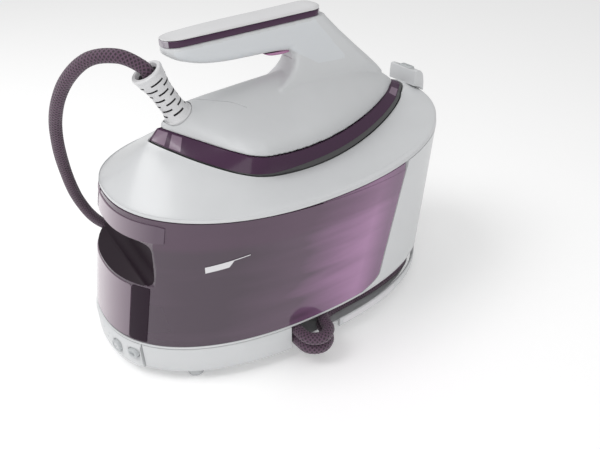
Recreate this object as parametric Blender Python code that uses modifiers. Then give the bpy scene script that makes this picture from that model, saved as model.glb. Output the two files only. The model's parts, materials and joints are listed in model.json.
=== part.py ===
"""Steam generator iron: a base station with a water tank, and a cordless-looking iron
joined to it by a braided steam hose.

Frame: metres, +Z up.  +X runs from the control-panel end to the iron's nose, +Y is the
side that the hose hangs on, and the origin is under the middle of the base, on the table.
"""

import math

import bmesh
import bpy
from mathutils import Matrix, Vector

# ---------------------------------------------------------------- driving dimensions
FOOT_R = 0.0083
FOOT_H = 0.0103
PLINTH_Z = 0.0106            # underside of the base
DECK_FLOOR_Z = 0.0384        # underside of the floor that the tank stands on
FLOOR_T = 0.0026
FLOOR_TOP = DECK_FLOOR_Z + FLOOR_T
GAP = 0.0004                 # running gap between touching pieces

LOW_CX, LOW_A, LOW_B = -0.0037, 0.1850, 0.1155     # base outline at the floor
TOP_CX, TOP_A, TOP_B = 0.0130, 0.1756, 0.1130      # base outline at the waist
BODY_N = 2.27                                      # squareness of both outlines
WALL = 0.0028

WAIST_LOW_Z = 0.1608         # lowest height of the waist line, where the tank slides out
CORE_CX, CORE_A, CORE_B, CORE_N = 0.030, 0.140, 0.084, 3.0

SLOT_ANGLE = 101.5           # the hose slot runs round the rear between these angles
RIM_ANGLE = 87.5
PANEL_ANGLE = 154.2

# the iron's two sheer lines: start, length, half width, widest station, three roundness
# exponents, then height, tilt and sag
DECK_LINE = (-0.1178, 0.2892, 0.0713, 0.2264, 1.25, 1.28, 0.50, 0.1682, -0.0017, 0.0307)
BAND_LINE = (-0.1087, 0.2674, 0.0680, 0.2062, 0.92, 1.18, 0.61, 0.1839, -0.0176, 0.0266)
SOLE_Z = 0.1640

HANDLE_HALF = 0.0138
HOSE_R = 0.0058
UPPER_Z, LOWER_Z = 0.0317, 0.0197    # the two turns of the hose in its slot

AROUND = 44                  # stations round a full outline
CENTRE_X = 0.00110           # puts the origin under the middle of the whole length

# ---------------------------------------------------------------- scene and materials
for old in list(bpy.data.objects):
    bpy.data.objects.remove(old, do_unlink=True)

parts = bpy.data.collections.new("steam_generator_iron")
cutters = bpy.data.collections.new("cutters")
bpy.context.scene.collection.children.link(parts)
bpy.context.scene.collection.children.link(cutters)

COLOURS = {
    "white_gloss": ((0.86, 0.87, 0.88), 0.22, 0.0),
    "grey_plastic": ((0.62, 0.64, 0.66), 0.45, 0.0),
    "dark_plastic": ((0.05, 0.05, 0.06), 0.5, 0.0),
    "purple_clear": ((0.23, 0.10, 0.22), 0.12, 0.0),
    "pink_clear": ((0.50, 0.25, 0.46), 0.15, 0.0),
    "metal": ((0.60, 0.60, 0.62), 0.3, 1.0),
    "rubber": ((0.55, 0.56, 0.57), 0.7, 0.0),
    "braid": ((0.20, 0.13, 0.19), 0.8, 0.0),
    "board": ((0.05, 0.20, 0.09), 0.5, 0.0),
}


def paint(obj, key):
    """Give the piece a material of its own."""
    colour, rough, metal = COLOURS[key]
    mat = bpy.data.materials.new(obj.name + "_" + key)
    mat.use_nodes = True
    shader = mat.node_tree.nodes["Principled BSDF"]
    shader.inputs["Base Color"].default_value = (*colour, 1.0)
    shader.inputs["Roughness"].default_value = rough
    shader.inputs["Metallic"].default_value = metal
    obj.data.materials.clear()
    obj.data.materials.append(mat)
    return obj


def from_bmesh(name, bm, key=None, origin=(0, 0, 0)):
    """Turn a bmesh in world metres into an object whose origin is at `origin`."""
    bmesh.ops.recalc_face_normals(bm, faces=bm.faces)
    bmesh.ops.translate(bm, verts=bm.verts, vec=-Vector(origin))
    mesh = bpy.data.meshes.new(name)
    bm.to_mesh(mesh)
    bm.free()
    obj = bpy.data.objects.new(name, mesh)
    obj.location = origin
    if key is None:
        cutters.objects.link(obj)
        obj.hide_render = True
        obj.display_type = "WIRE"
        return obj
    parts.objects.link(obj)
    return paint(obj, key)


def sweep(name, loops, key, closed=False, origin=(0, 0, 0), walls=False):
    """Skin equal-length closed loops of points, in order; cap the ends unless closed.

    A wall's loop goes up its outside and down its inside, and is capped in strips.
    """
    bm = bmesh.new()
    grid = [[bm.verts.new(p) for p in loop] for loop in loops]
    count = len(loops[0])
    pairs = len(loops) if closed else len(loops) - 1
    for i in range(pairs):
        one, two = grid[i], grid[(i + 1) % len(loops)]
        for j in range(count):
            k = (j + 1) % count
            bm.faces.new((one[j], one[k], two[k], two[j]))
    for end in () if closed else (grid[0], grid[-1]):
        if not walls:
            bm.faces.new(end)
            continue
        for j in range(count // 2 - 1):
            bm.faces.new((end[j], end[j + 1], end[count - 2 - j], end[count - 1 - j]))
    return from_bmesh(name, bm, key, origin)


def cut(obj, tool, operation="DIFFERENCE"):
    mod = obj.modifiers.new(tool.name, "BOOLEAN")
    mod.object = tool
    mod.operation = operation
    mod.solver = "EXACT"
    return obj


def soften(obj, width, segments=2, angle=40):
    mod = obj.modifiers.new("edges", "BEVEL")
    mod.width = width
    mod.segments = segments
    mod.limit_method = "ANGLE"
    mod.angle_limit = math.radians(angle)
    return obj


def block(name, low, high, key):
    bm = bmesh.new()
    bmesh.ops.create_cube(bm, size=1.0)
    size = [h - l for l, h in zip(low, high)]
    mid = [(h + l) / 2 for l, h in zip(low, high)]
    bmesh.ops.scale(bm, vec=size, verts=bm.verts)
    bmesh.ops.translate(bm, vec=mid, verts=bm.verts)
    return from_bmesh(name, bm, key)


def rod(name, start, end, radius, key, segments=24, squash=1.0):
    """A round bar between two points; squash stretches it along its local X."""
    start, end = Vector(start), Vector(end)
    bm = bmesh.new()
    bmesh.ops.create_cone(bm, cap_ends=True, segments=segments, radius1=radius,
                          radius2=radius, depth=(end - start).length)
    bmesh.ops.scale(bm, vec=(squash, 1, 1), verts=bm.verts)
    turn = aim(end - start)
    bmesh.ops.transform(bm, matrix=Matrix.Translation((start + end) / 2) @ turn,
                        verts=bm.verts)
    return from_bmesh(name, bm, key)


def aim(direction):
    """Rotation that takes +Z to the direction and keeps local X level."""
    z = Vector(direction).normalized()
    x = Vector((0, 0, 1)).cross(z)
    if x.length < 1e-6:
        x = Vector((1, 0, 0))
    x.normalize()
    return Matrix((x, z.cross(x), z)).transposed().to_4x4()


def turned(name, profile, start, direction, key, steps=24):
    """Turn an (r, z) profile, listed down its outer side, about a line."""
    bm = bmesh.new()
    row = [bm.verts.new((r, 0, z)) for r, z in profile]
    for one, two in zip(row, row[1:]):
        bm.edges.new((one, two))
    mesh = bpy.data.meshes.new(name)
    bm.to_mesh(mesh)
    bm.free()
    obj = bpy.data.objects.new(name, mesh)
    parts.objects.link(obj)
    obj.matrix_world = Matrix.Translation(start) @ aim(direction)
    mod = obj.modifiers.new("turn", "SCREW")
    mod.steps = steps
    mod.render_steps = steps
    mod.use_merge_vertices = True
    mod.merge_threshold = 0.00005
    return paint(obj, key)


def tube(name, points, radius, key, resolution=2):
    """A solid round tube along a polyline."""
    curve = bpy.data.curves.new(name, "CURVE")
    curve.dimensions = "3D"
    curve.bevel_depth = radius
    curve.bevel_resolution = resolution
    curve.use_fill_caps = True
    line = curve.splines.new("POLY")
    line.points.add(len(points) - 1)
    for slot, p in zip(line.points, points):
        slot.co = (*p, 1.0)
    obj = bpy.data.objects.new(name, curve)
    parts.objects.link(obj)
    return paint(obj, key)


def smooth(points, per_span):
    """Catmull-Rom curve through the points."""
    pts = [Vector(p) for p in points]
    pts = [2 * pts[0] - pts[1]] + pts + [2 * pts[-1] - pts[-2]]
    out = []
    for a, b, c, d in zip(pts, pts[1:], pts[2:], pts[3:]):
        for k in range(per_span):
            t = k / per_span
            out.append(0.5 * (2 * b + (c - a) * t + (2 * a - 5 * b + 4 * c - d) * t * t
                              + (3 * b - a - 3 * c + d) * t ** 3))
    return out + [pts[-2]]


def plate(name, outline, half, key, bevel, y=0.0):
    """Extrude an outline in the XZ plane to both sides of y."""
    bm = bmesh.new()
    left = [bm.verts.new((x, y - half, z)) for x, z in outline]
    right = [bm.verts.new((x, y + half, z)) for x, z in outline]
    bm.faces.new(left)
    bm.faces.new(right)
    for i in range(len(outline)):
        j = (i + 1) % len(outline)
        bm.faces.new((left[i], left[j], right[j], right[i]))
    obj = from_bmesh(name, bm, key)
    if bevel:
        soften(obj, bevel, 3, 30)
    return obj


# ---------------------------------------------------------------- outlines
def mix(a, b, t):
    return a + (b - a) * t


def ease(t):
    t = min(1.0, max(0.0, t))
    return t * t * (3 - 2 * t)


def power(value, exponent):
    return math.copysign(abs(value) ** exponent, value)


def ellipse(angle, cx, a, b, n):
    """Point on a superellipse; angle in degrees, 0 towards the nose end."""
    turn = math.radians(angle)
    return cx + a * power(math.cos(turn), 2 / n), b * power(math.sin(turn), 2 / n)


def waist_z(x):
    """Height of the line where the upper housing meets the tank and the rear wall."""
    u = (x - TOP_CX) / TOP_A
    return 0.1635 + 0.0092 * u + 0.0099 * u * u


def side(angle, t, inset=0.0, top=waist_z):
    """Point of the side wall: t is 0 at the tank floor and 1 at the waist."""
    x, y = ellipse(angle, mix(LOW_CX, TOP_CX, t), mix(LOW_A, TOP_A, t) - inset,
                   mix(LOW_B, TOP_B, t) - inset, BODY_N)
    return Vector((x, y, mix(DECK_FLOOR_Z, top(x), t)))


def foot_line(angle, inset, z):
    x, y = ellipse(angle, LOW_CX, LOW_A - inset, LOW_B - inset, BODY_N)
    return Vector((x, y, z))


def spread(start, end, count):
    return [mix(start, end, i / (count - 1)) for i in range(count)]


def tank_top(x):
    """The tank may not stand above the lowest waist that it has to pass under."""
    low = waist_z(x) if x < TOP_CX - 0.46 * TOP_A else WAIST_LOW_Z + 0.0005
    return low - 0.0006


def side_at(angle, z, inset=0.0):
    """Point of the side wall at a height."""
    t = 0.5
    for _ in range(4):
        t = (z - DECK_FLOOR_Z) / (waist_z(side(angle, t).x) - DECK_FLOOR_Z)
    point = side(angle, t, inset)
    return Vector((point.x, point.y, z))


def rear_angle(z):
    """Angle of the tank's slanted rear edge; its lower corner is rounded."""
    up = (z - DECK_FLOOR_Z) / (0.1669 - DECK_FLOOR_Z)
    return 67.3 + 6.5 * max(0.0, 1 - up) ** 0.8 + 10.0 * max(0.0, 1 - up / 0.12) ** 2


def sheer(line, share, grow=0.0):
    """Point of a sheer line at a share of its length from the heel to the nose."""
    x0, length, wide, widest, heel, bow, tip, z0, tilt, sag = line

    def width(at):
        if at < widest:
            return (1 - abs(1 - at / widest) ** heel) ** (1 / heel)
        return max(0.0, 1 - ((at - widest) / (1 - widest)) ** bow) ** tip

    near = min(0.05, share, 1 - share)
    half = (width(share - near) + 2 * width(share) + width(share + near)) / 4
    x = x0 + length * share
    z = z0 + tilt * x + sag * ((x - 0.03) / 0.14) ** 2
    return x + 2 * grow * (share - 0.5), (wide + grow) * half, z


def skirt(angle, f, grow=0.0):
    """Point of the iron's side between its two sheer lines: f is 0 on top, 1 at the deck."""
    turn = math.radians(angle)
    share = (1 + math.cos(turn)) / 2
    top, low = sheer(BAND_LINE, share, grow), sheer(DECK_LINE, share, grow)
    x, y, z = (mix(t, l, f) for t, l in zip(top, low))
    return Vector((x, math.copysign(y, math.sin(turn)), z))


def flat(angle, grow, z):
    at = skirt(angle, 1.0, grow)
    return Vector((at.x, at.y, z))


def band_low(angle):
    """Where the clear band ends: down at the deck by the heel, higher towards the nose."""
    return 0.70 + 0.24 * ease((0.02 - skirt(angle, 0.0).x) / 0.09)


# ---------------------------------------------------------------- base: floor and plinth
for n, (x, y) in enumerate(((-0.1321, -0.0765), (-0.1321, 0.0765), (0.124, -0.068),
                            (0.124, 0.068))):
    bm = bmesh.new()
    bmesh.ops.create_cone(bm, cap_ends=True, segments=20, radius1=FOOT_R * 0.94,
                          radius2=FOOT_R, depth=FOOT_H)
    bmesh.ops.translate(bm, vec=(x, y, FOOT_H / 2), verts=bm.verts)
    from_bmesh("foot_%d" % (n + 1), bm, "rubber")

full = [360 * i / AROUND for i in range(AROUND)]
sweep("base_plate", [[foot_line(a, 0.0070, z) for a in full]
                     for z in (PLINTH_Z, PLINTH_Z + 0.003)], "white_gloss")

rear = spread(-RIM_ANGLE, RIM_ANGLE, 28)
sweep("slot_rim", [[foot_line(a, 0.0010, PLINTH_Z), foot_line(a, 0.0, PLINTH_Z + 0.004),
                    foot_line(a, 0.0, 0.0212), foot_line(a, 0.0022, 0.0212),
                    foot_line(a, 0.0036, 0.0150), foot_line(a, 0.0036, PLINTH_Z)]
                   for a in rear], "white_gloss", walls=True)


def plinth_loop(angle, inner):
    z = PLINTH_Z + (0.0034 if inner else 0.0)
    deep = 0.0040 if inner else 0.0
    return [foot_line(angle, deep, z), foot_line(angle, deep, DECK_FLOOR_Z - GAP),
            foot_line(angle, deep + 0.0033, DECK_FLOOR_Z - GAP),
            foot_line(angle, deep + 0.0033, z)]


front = spread(SLOT_ANGLE, PANEL_ANGLE - 0.4, 10)
middle = spread(PANEL_ANGLE, 360 - PANEL_ANGLE, 12)
plinth = sweep("front_plinth", [plinth_loop(a, False) for a in front]
               + [plinth_loop(a, True) for a in middle]
               + [plinth_loop(360 - a, False) for a in reversed(front)], "white_gloss",
               walls=True)

panel = sweep("control_panel", [[foot_line(a, -0.0004, 0.0094), foot_line(a, -0.0022, 0.0130),
                                 foot_line(a, -0.0016, 0.0350),
                                 foot_line(a, 0.0002, DECK_FLOOR_Z - GAP),
                                 foot_line(a, 0.0036, DECK_FLOOR_Z - GAP),
                                 foot_line(a, 0.0036, 0.0094)]
                                for a in spread(PANEL_ANGLE + 0.4, 359.6 - PANEL_ANGLE, 14)],
              "white_gloss", walls=True)


def keyed_button(name, angle, z, radius, squash, key):
    """A push button in a hole through the panel and the wall behind it."""
    out = foot_line(angle, -0.0020, z)
    normal = Vector((out.x - foot_line(angle, 0.02, z).x,
                     out.y - foot_line(angle, 0.02, z).y, 0)).normalized()
    hole = rod(name + "_hole", out - normal * 0.014, out + normal * 0.006,
               radius + 0.0005, None, squash=squash)
    cut(panel, hole)
    cut(plinth, hole)
    knob = rod(name, out - normal * 0.0100, out + normal * 0.0022, radius, key,
               segments=20, squash=squash)
    soften(knob, 0.0005, 2)
    return normal, out


POWER = keyed_button("power_button", 192.0, 0.0252, 0.0062, 1.0, "grey_plastic")
MODE = keyed_button("mode_button", 201.8, 0.0272, 0.0046, 1.3, "grey_plastic")

sweep("tank_floor", [[foot_line(a, i, z) for a in full]
                     for i, z in ((0.0006, DECK_FLOOR_Z), (0.0, DECK_FLOOR_Z + 0.0008),
                                  (0.0, FLOOR_TOP))], "white_gloss")


# ---------------------------------------------------------------- hose storage
def hub(inset, z):
    return [Vector((*ellipse(a, 0.064, 0.084 - inset, 0.066 - inset, 2.6), z)) for a in full]


hub_low, hub_high = PLINTH_Z + 0.0034, DECK_FLOOR_Z - GAP
rings = [hub(0, hub_low), hub(0, hub_high), hub(0.0026, hub_high), hub(0.0026, hub_low)]
sweep("hose_hub", [[ring[i] for ring in rings] for i in range(AROUND)], "grey_plastic",
      closed=True)

# ---------------------------------------------------------------- rear wall and core
LEVELS = (FLOOR_TOP + GAP, 0.0445, 0.0490, 0.0545, 0.0800, 0.1200, 0.1500, 0.1607)
STEPS = 26
loops = []
for i in range(STEPS):
    f = 2 * i / (STEPS - 1) - 1
    outer, inner = [], []
    for z in LEVELS:
        angle = f * (rear_angle(z) - 0.50)
        outer.append(side_at(angle, z))
        inner.append(side_at(angle, z, WALL))
    for row, inset in ((outer, 0.0), (inner, WALL)):
        angle = f * (rear_angle(0.1666) - 0.50)
        low = side(angle, 1.0, inset)
        row.append(Vector((low.x, low.y, waist_z(low.x) - 0.0003)))
    loops.append(outer + inner[::-1])
rear_housing = sweep("rear_housing", loops, "white_gloss", walls=True)


def core(angle, grow, z):
    x, y = ellipse(angle, CORE_CX, CORE_A + grow, CORE_B + grow, CORE_N)
    return Vector((x, y, z))


core_low, core_high = FLOOR_TOP + GAP, 0.1500
core_housing = sweep("core_housing", [[core(a, 0, core_low), core(a, 0, core_high),
                                       core(a, -0.0025, core_high),
                                       core(a, -0.0025, core_low)] for a in full],
                     "grey_plastic", closed=True)

# ---------------------------------------------------------------- water tank
def tank_loops(skin, end):
    """Horseshoe sections, from the near rear edge round the control end to the far one."""
    heights = [LEVELS[0] + skin] + [max(z, LEVELS[0] + 2 * skin) for z in LEVELS[1:]]
    loops = []
    for i in range(40):
        f = 1 - 2 * i / 39
        outer, inner = [], []
        for z in heights:
            edge = rear_angle(z) + end
            at = side_at(180 - f * (180 - edge), z, 0.0003 + skin)
            reach = (side_at(edge, z).x - CORE_CX) / (CORE_A + 0.0015)
            turn = math.degrees(math.acos(power(reach, CORE_N / 2)))
            back = core(180 - f * (180 - turn), 0.0015 + skin, 0)
            if z == heights[-1]:
                z = tank_top(at.x) - skin
            outer.append(Vector((at.x, at.y, z)))
            inner.append(Vector((back.x, back.y, z)))
        loops.append(outer + inner[::-1])
    return loops


tank = sweep("water_tank", tank_loops(0.0, 0.0), "purple_clear", walls=True)
hollow = sweep("tank_hollow", tank_loops(0.0022, 1.2), None, walls=True)


def recess_box(name, grow):
    box = block(name, (-0.21, -0.063 - grow, 0.1005 - grow), (-0.150 + grow, 0.063 + grow,
                                                             0.1415 + grow), None)
    return soften(box, 0.010 + grow, 3)


recess = recess_box("recess", 0.0)
cut(hollow, recess_box("recess_wall", 0.0022))
cut(tank, recess)
cut(tank, hollow)
filler = rod("filler_hole", (-0.132, 0, 0.1560), (-0.132, 0, 0.1700), 0.0125, None)
cut(tank, filler)

# outlet spigot: from the tank's inner wall into the valve seat behind the core wall
SPIGOT_Z = 0.0560
spigot_x = CORE_CX - CORE_A
cut(core_housing, rod("spigot_hole", (spigot_x - 0.01, 0, SPIGOT_Z),
                      (spigot_x + 0.01, 0, SPIGOT_Z), 0.0072, None))
rod("tank_outlet", (spigot_x - 0.0012, 0, SPIGOT_Z), (spigot_x + 0.012, 0, SPIGOT_Z),
    0.0050, "dark_plastic")
seat = rod("valve_seat", (spigot_x + 0.0042, 0, SPIGOT_Z), (spigot_x + 0.030, 0, SPIGOT_Z),
           0.0105, "dark_plastic")
cut(seat, rod("seat_bore", (spigot_x - 0.01, 0, SPIGOT_Z), (spigot_x + 0.020, 0, SPIGOT_Z),
              0.0060, None))

# strips above the tank's flat top edge, which fill the wedge under the rising waist line
for sign, name in ((-1, "waist_strip_near"), (1, "waist_strip_far")):
    loops = []
    for a in spread(97.0, 69.0, 10):
        foot = side(a, 1.0)
        low = WAIST_LOW_Z + 0.0004
        high = max(waist_z(foot.x) - 0.0004, low + 0.0006)
        inner = side(a, 1.0, 0.0026)
        loops.append([Vector((foot.x, sign * foot.y, low)),
                      Vector((foot.x, sign * foot.y, high)),
                      Vector((inner.x, sign * inner.y, high)),
                      Vector((inner.x, sign * inner.y, low))])
    sweep(name, loops, "purple_clear", walls=True)

# ---------------------------------------------------------------- upper housing
loops = []
for a in full:
    low = side(a, 1.0)
    edge = skirt(a, 1.0)
    plan = Vector((low.x, low.y, 0))
    lean = Vector((edge.x, edge.y, 0)) - plan
    heel = ease((-0.030 - low.x) / 0.080)
    rise = mix(0.0045 + 0.0060 * ease((edge.z - low.z - 0.004) / 0.020), 0.0030, heel)
    crown = plan + lean * 0.045 + Vector((0, 0, low.z + rise))
    bulge = plan + lean * 0.30 + Vector((0, 0, mix(low.z + rise, edge.z, 0.42 - 0.14 * heel)))
    near = side(a, 1.0, WALL)
    pull = Vector((near.x, near.y, 0)) - plan
    drop = Vector((0, 0, -0.0028))
    loops.append([low, crown, bulge, edge, edge + drop, bulge + pull * 0.8 + drop,
                  crown + pull, near])
upper = sweep("upper_housing", loops, "white_gloss", closed=True)

# tray under the iron, carried on the core
tray_z = SOLE_Z - 0.0022
tray = sweep("iron_rest", [[flat(a, g, z) for a in full]
                           for g, z in ((-0.0130, tray_z - 0.0108), (-0.0105, tray_z - 0.0080),
                                        (-0.0100, tray_z))], "dark_plastic")
cut(tray, sweep("tray_hollow", [[flat(a, g, z) for a in full]
                                for g, z in ((-0.0165, tray_z - 0.03),
                                             (-0.0165, tray_z - 0.0030))], None))

# ---------------------------------------------------------------- carry lock
lock = plate("lock_housing", [(0.1739, 0.1989), (0.1834, 0.1952), (0.1878, 0.1919),
                             (0.1885, 0.1940), (0.1878, 0.2030), (0.1850, 0.2110),
                             (0.1800, 0.2150), (0.1738, 0.2150), (0.1732, 0.2048)],
             0.0200, "white_gloss", 0.0012)
cut(lock, block("lock_well", (0.1750, -0.0095, 0.2070), (0.1840, 0.0095, 0.2300), None))
lock_button = block("lock_button", (0.1754, -0.0091, 0.2095), (0.1836, 0.0091, 0.2163),
                    "grey_plastic")
soften(lock_button, 0.0018, 3)

# ---------------------------------------------------------------- insides of the base
boiler = rod("boiler", (0.020, 0, 0.0836), (0.125, 0, 0.0836), 0.0420, "metal", 28)
soften(boiler, 0.012, 3)
pump = rod("pump", (-0.060, 0.030, 0.0586), (-0.010, 0.030, 0.0586), 0.0170,
           "dark_plastic")
soften(pump, 0.002, 2)
valve = rod("steam_valve", (-0.030, -0.035, 0.0416), (-0.030, -0.035, 0.0850), 0.0120,
            "metal")
soften(valve, 0.002, 2)
soften(block("control_board", (-0.150, -0.045, 0.0300), (-0.080, 0.045, 0.0320), "board"),
       0.0003, 1)

# knob for rinsing out the boiler, and the sleeve that the mains lead leaves by
knob_at = side(48, 0.33)
knob_in = side(48, 0.33, 0.02)
knob_n = Vector((knob_at.x - knob_in.x, knob_at.y - knob_in.y, 0)).normalized()
cut(rear_housing, rod("knob_hole", knob_at - knob_n * 0.012, knob_at + knob_n * 0.01,
                      0.0128, None))
knob = rod("rinse_knob", knob_at - knob_n * 0.0100, knob_at + knob_n * 0.0020, 0.0122,
           "grey_plastic", 28)
soften(knob, 0.0008, 2)
gland_at = side(30, 0.12)
gland_in = side(30, 0.12, 0.02)
gland_n = Vector((gland_at.x - gland_in.x, gland_at.y - gland_in.y, 0)).normalized()
cut(rear_housing, rod("gland_hole", gland_at - gland_n * 0.012, gland_at + gland_n * 0.01,
                      0.0068, None))
turned("mains_gland", ((0.0048, 0.0075), (0.0056, 0.0070), (0.0062, -0.0045),
                       (0.0036, -0.0045), (0.0036, 0.0075), (0.0048, 0.0075)),
       gland_at, gland_n, "dark_plastic")

# ---------------------------------------------------------------- iron: sole and skirt
sweep("soleplate", [[flat(a, g, z) for a in full]
                    for g, z in ((-0.0080, SOLE_Z), (-0.0056, SOLE_Z + 0.0016),
                                 (-0.0056, SOLE_Z + 0.0032))], "metal")
sweep("steam_chamber", [[flat(a, g, z) for a in full]
                        for g, z in ((-0.0220, SOLE_Z + 0.0036),
                                     (-0.0260, SOLE_Z + 0.0180))], "metal")

loops = []
for a in full:
    f = band_low(a) + 0.02
    low = flat(a, -0.0016, SOLE_Z + 0.0010)
    knee = skirt(a, 1.0, -0.0016) - Vector((0, 0, 0.0010))
    loops.append([low, knee, skirt(a, f, -0.0012), skirt(a, f, -0.0036),
                  skirt(a, 1.0, -0.0040) - Vector((0, 0, 0.0010)),
                  flat(a, -0.0040, SOLE_Z + 0.0010)])
sweep("iron_skirt", loops, "dark_plastic", closed=True)

sweep("iron_band", [[skirt(a, band_low(a) - 0.01), skirt(a, 0.0), skirt(a, 0.0, -0.0024),
                     skirt(a, band_low(a) - 0.01, -0.0024)] for a in full],
      "purple_clear", closed=True)

# ---------------------------------------------------------------- iron: body shell
# (station, height of the ridge) from the heel to the nose
RIDGE = ((-0.1050, 0.2150), (-0.0978, 0.2192), (-0.0900, 0.2240), (-0.0812, 0.2278),
         (-0.0603, 0.2308), (-0.0218, 0.2350), (0.0053, 0.2376), (0.0300, 0.2400),
         (0.0600, 0.2400), (0.0900, 0.2360), (0.1150, 0.2290), (0.1350, 0.2195),
         (0.1480, 0.2110), (0.1550, 0.2060))


def ridge_z(x):
    for (x0, z0), (x1, z1) in zip(RIDGE, RIDGE[1:]):
        if x <= x1:
            return mix(z0, z1, max(0.0, (x - x0) / (x1 - x0)))
    return RIDGE[-1][1]


ACROSS = 14


def arch(x, skin):
    """Section of the shell: low shoulders, and a ridge along the middle."""
    _, half, low = sheer(BAND_LINE, (x - BAND_LINE[0]) / BAND_LINE[1])
    half -= 0.0014 + skin
    low += 3 * GAP
    tall = ridge_z(x) - low - skin
    points = []
    for i in range(ACROSS + 1):
        turn = math.pi * i / ACROSS
        y = -half * math.cos(turn)
        dome = 0.45 * math.sin(turn) ** 0.8
        top = 0.55 * math.exp(-(abs(y) / 0.026) ** 2.0) * math.sin(turn) ** 0.5
        points.append(Vector((x, y, low + tall * (dome + top))))
    return points


first, last = RIDGE[0][0], RIDGE[-1][0]
stations = [mix(first, last, 0.5 - 0.5 * math.cos(math.pi * i / 25)) for i in range(26)]
body = sweep("iron_body", [arch(x, 0.0) for x in stations], "white_gloss")
inside = []
for x in (-0.1000, -0.0900, -0.0812, -0.0603, -0.0218, 0.0053, 0.0300, 0.0600, 0.0900,
          0.1150, 0.1350, 0.1450):
    row = arch(x, 0.0026)
    row[0] = row[0] - Vector((0, 0, 0.002))
    row[-1] = row[-1] - Vector((0, 0, 0.002))
    inside.append(row)
cut(body, sweep("body_hollow", inside, None))

# ---------------------------------------------------------------- iron: handle
# The grip's split line and its upper cap rise gently from the heel end to the nose end.
def split_z(x):
    return 0.2803 + 0.055 * (x + 0.06) + (0.10 * (x + 0.06)) ** 2


grip = [(-0.0988, 0.2776), (-0.1002, 0.2760), (-0.0950, 0.2722), (-0.0854, 0.2668),
        (-0.0667, 0.2615), (-0.0453, 0.2594), (-0.0202, 0.2596), (-0.0005, 0.2602),
        (0.0180, 0.2592), (0.0245, 0.2550), (0.0248, 0.2500), (0.0210, 0.2450),
        (0.0170, 0.2400)]
seat = [(x, ridge_z(x) + GAP) for x in (0.0300, 0.0600, 0.0900, 0.1150, 0.1300)]
bow = [(0.1330, 0.2255), (0.0958, 0.2550), (0.0788, 0.2690), (0.0610, 0.2850)]
frame = plate("handle_frame", grip + seat + bow
              + [(x, split_z(x)) for x in (0.0560, 0.0300, 0.0, -0.0300, -0.0600, -0.0900)],
              HANDLE_HALF, "white_gloss", 0.0032)
cut(frame, block("trigger_well", (-0.0060, -0.0072, 0.2500), (0.0252, 0.0072, 0.2690), None))

STRIPE = (-0.0990, -0.0900, -0.0600, -0.0300, 0.0, 0.0300, 0.0520)
plate("handle_stripe", [(x, split_z(x) + 0.0004) for x in STRIPE]
      + [(x, split_z(x) + 0.0052) for x in STRIPE[::-1]], HANDLE_HALF - 0.0002,
      "purple_clear", 0.0009)
plate("handle_pad", [(x, split_z(x) + 0.0056) for x in STRIPE]
      + [(0.0530, 0.2958), (0.0400, 0.2968), (0.0, 0.2930), (-0.0300, 0.2912),
         (-0.0600, 0.2886), (-0.0880, 0.2846)], HANDLE_HALF - 0.0008, "white_gloss", 0.0014)

PIVOT = (0.0215, 0.0, 0.2630)
trigger = plate("trigger", [(0.0240, 0.2650), (0.0238, 0.2590), (0.0228, 0.2566),
                            (0.0050, 0.2562), (-0.0040, 0.2584), (-0.0050, 0.2606),
                            (0.0120, 0.2632)], 0.0066, "pink_clear", 0.0008)

# ---------------------------------------------------------------- strain relief and hose
RELIEF_AT = Vector((-0.0870, 0.0, 0.2176))
RELIEF_DIR = Vector((-0.480, 0.0, 0.877)).normalized()
profile = []
TALL = 0.0500
for i in range(7):
    z = TALL - 0.0040 - i * 0.0060
    r = 0.0106 + 0.0022 * (1 - i / 6)
    profile += [(r, z), (r, z - 0.0040), (r - 0.0014, z - 0.0044), (r - 0.0014, z - 0.0056)]
profile = [(0.0132, TALL), (0.0134, TALL - 0.0022)] + profile + [(0.0128, 0.0030),
                                                                   (0.0132, 0.0004)]
profile += [(0.0071, 0.0004), (0.0071, TALL - 0.012), (0.0100, TALL), (0.0132, TALL)]
turned("strain_relief", profile, RELIEF_AT, RELIEF_DIR, "grey_plastic", 20)
HOSE_START = RELIEF_AT + RELIEF_DIR * 0.0040
cut(body, rod("relief_seat", RELIEF_AT - RELIEF_DIR * 0.030, RELIEF_AT + RELIEF_DIR * 0.012,
              0.0140, None))

# The free stretch: out of the relief, over and down the far side, into the slot.
EXIT = RELIEF_AT + RELIEF_DIR * TALL
route = [HOSE_START, HOSE_START + RELIEF_DIR * 0.026, EXIT - RELIEF_DIR * 0.004,
         EXIT + RELIEF_DIR * 0.0045, (-0.1290, 0.0080, 0.2745),
         (-0.1490, 0.0260, 0.2700), (-0.1660, 0.0500, 0.2450), (-0.1745, 0.0760, 0.2060),
         (-0.1735, 0.0980, 0.1560), (-0.1640, 0.1170, 0.1020), (-0.1440, 0.1290, 0.0600),
         (-0.1100, 0.1340, 0.0370), (-0.0660, 0.1310, UPPER_Z), (-0.0330, 0.1210, UPPER_Z),
         (-0.0100, 0.1090, UPPER_Z), (0.0120, 0.0990, UPPER_Z), (0.0300, 0.0961, UPPER_Z)]
tube("steam_hose", smooth(route, 4), HOSE_R, "braid", 2)

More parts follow.
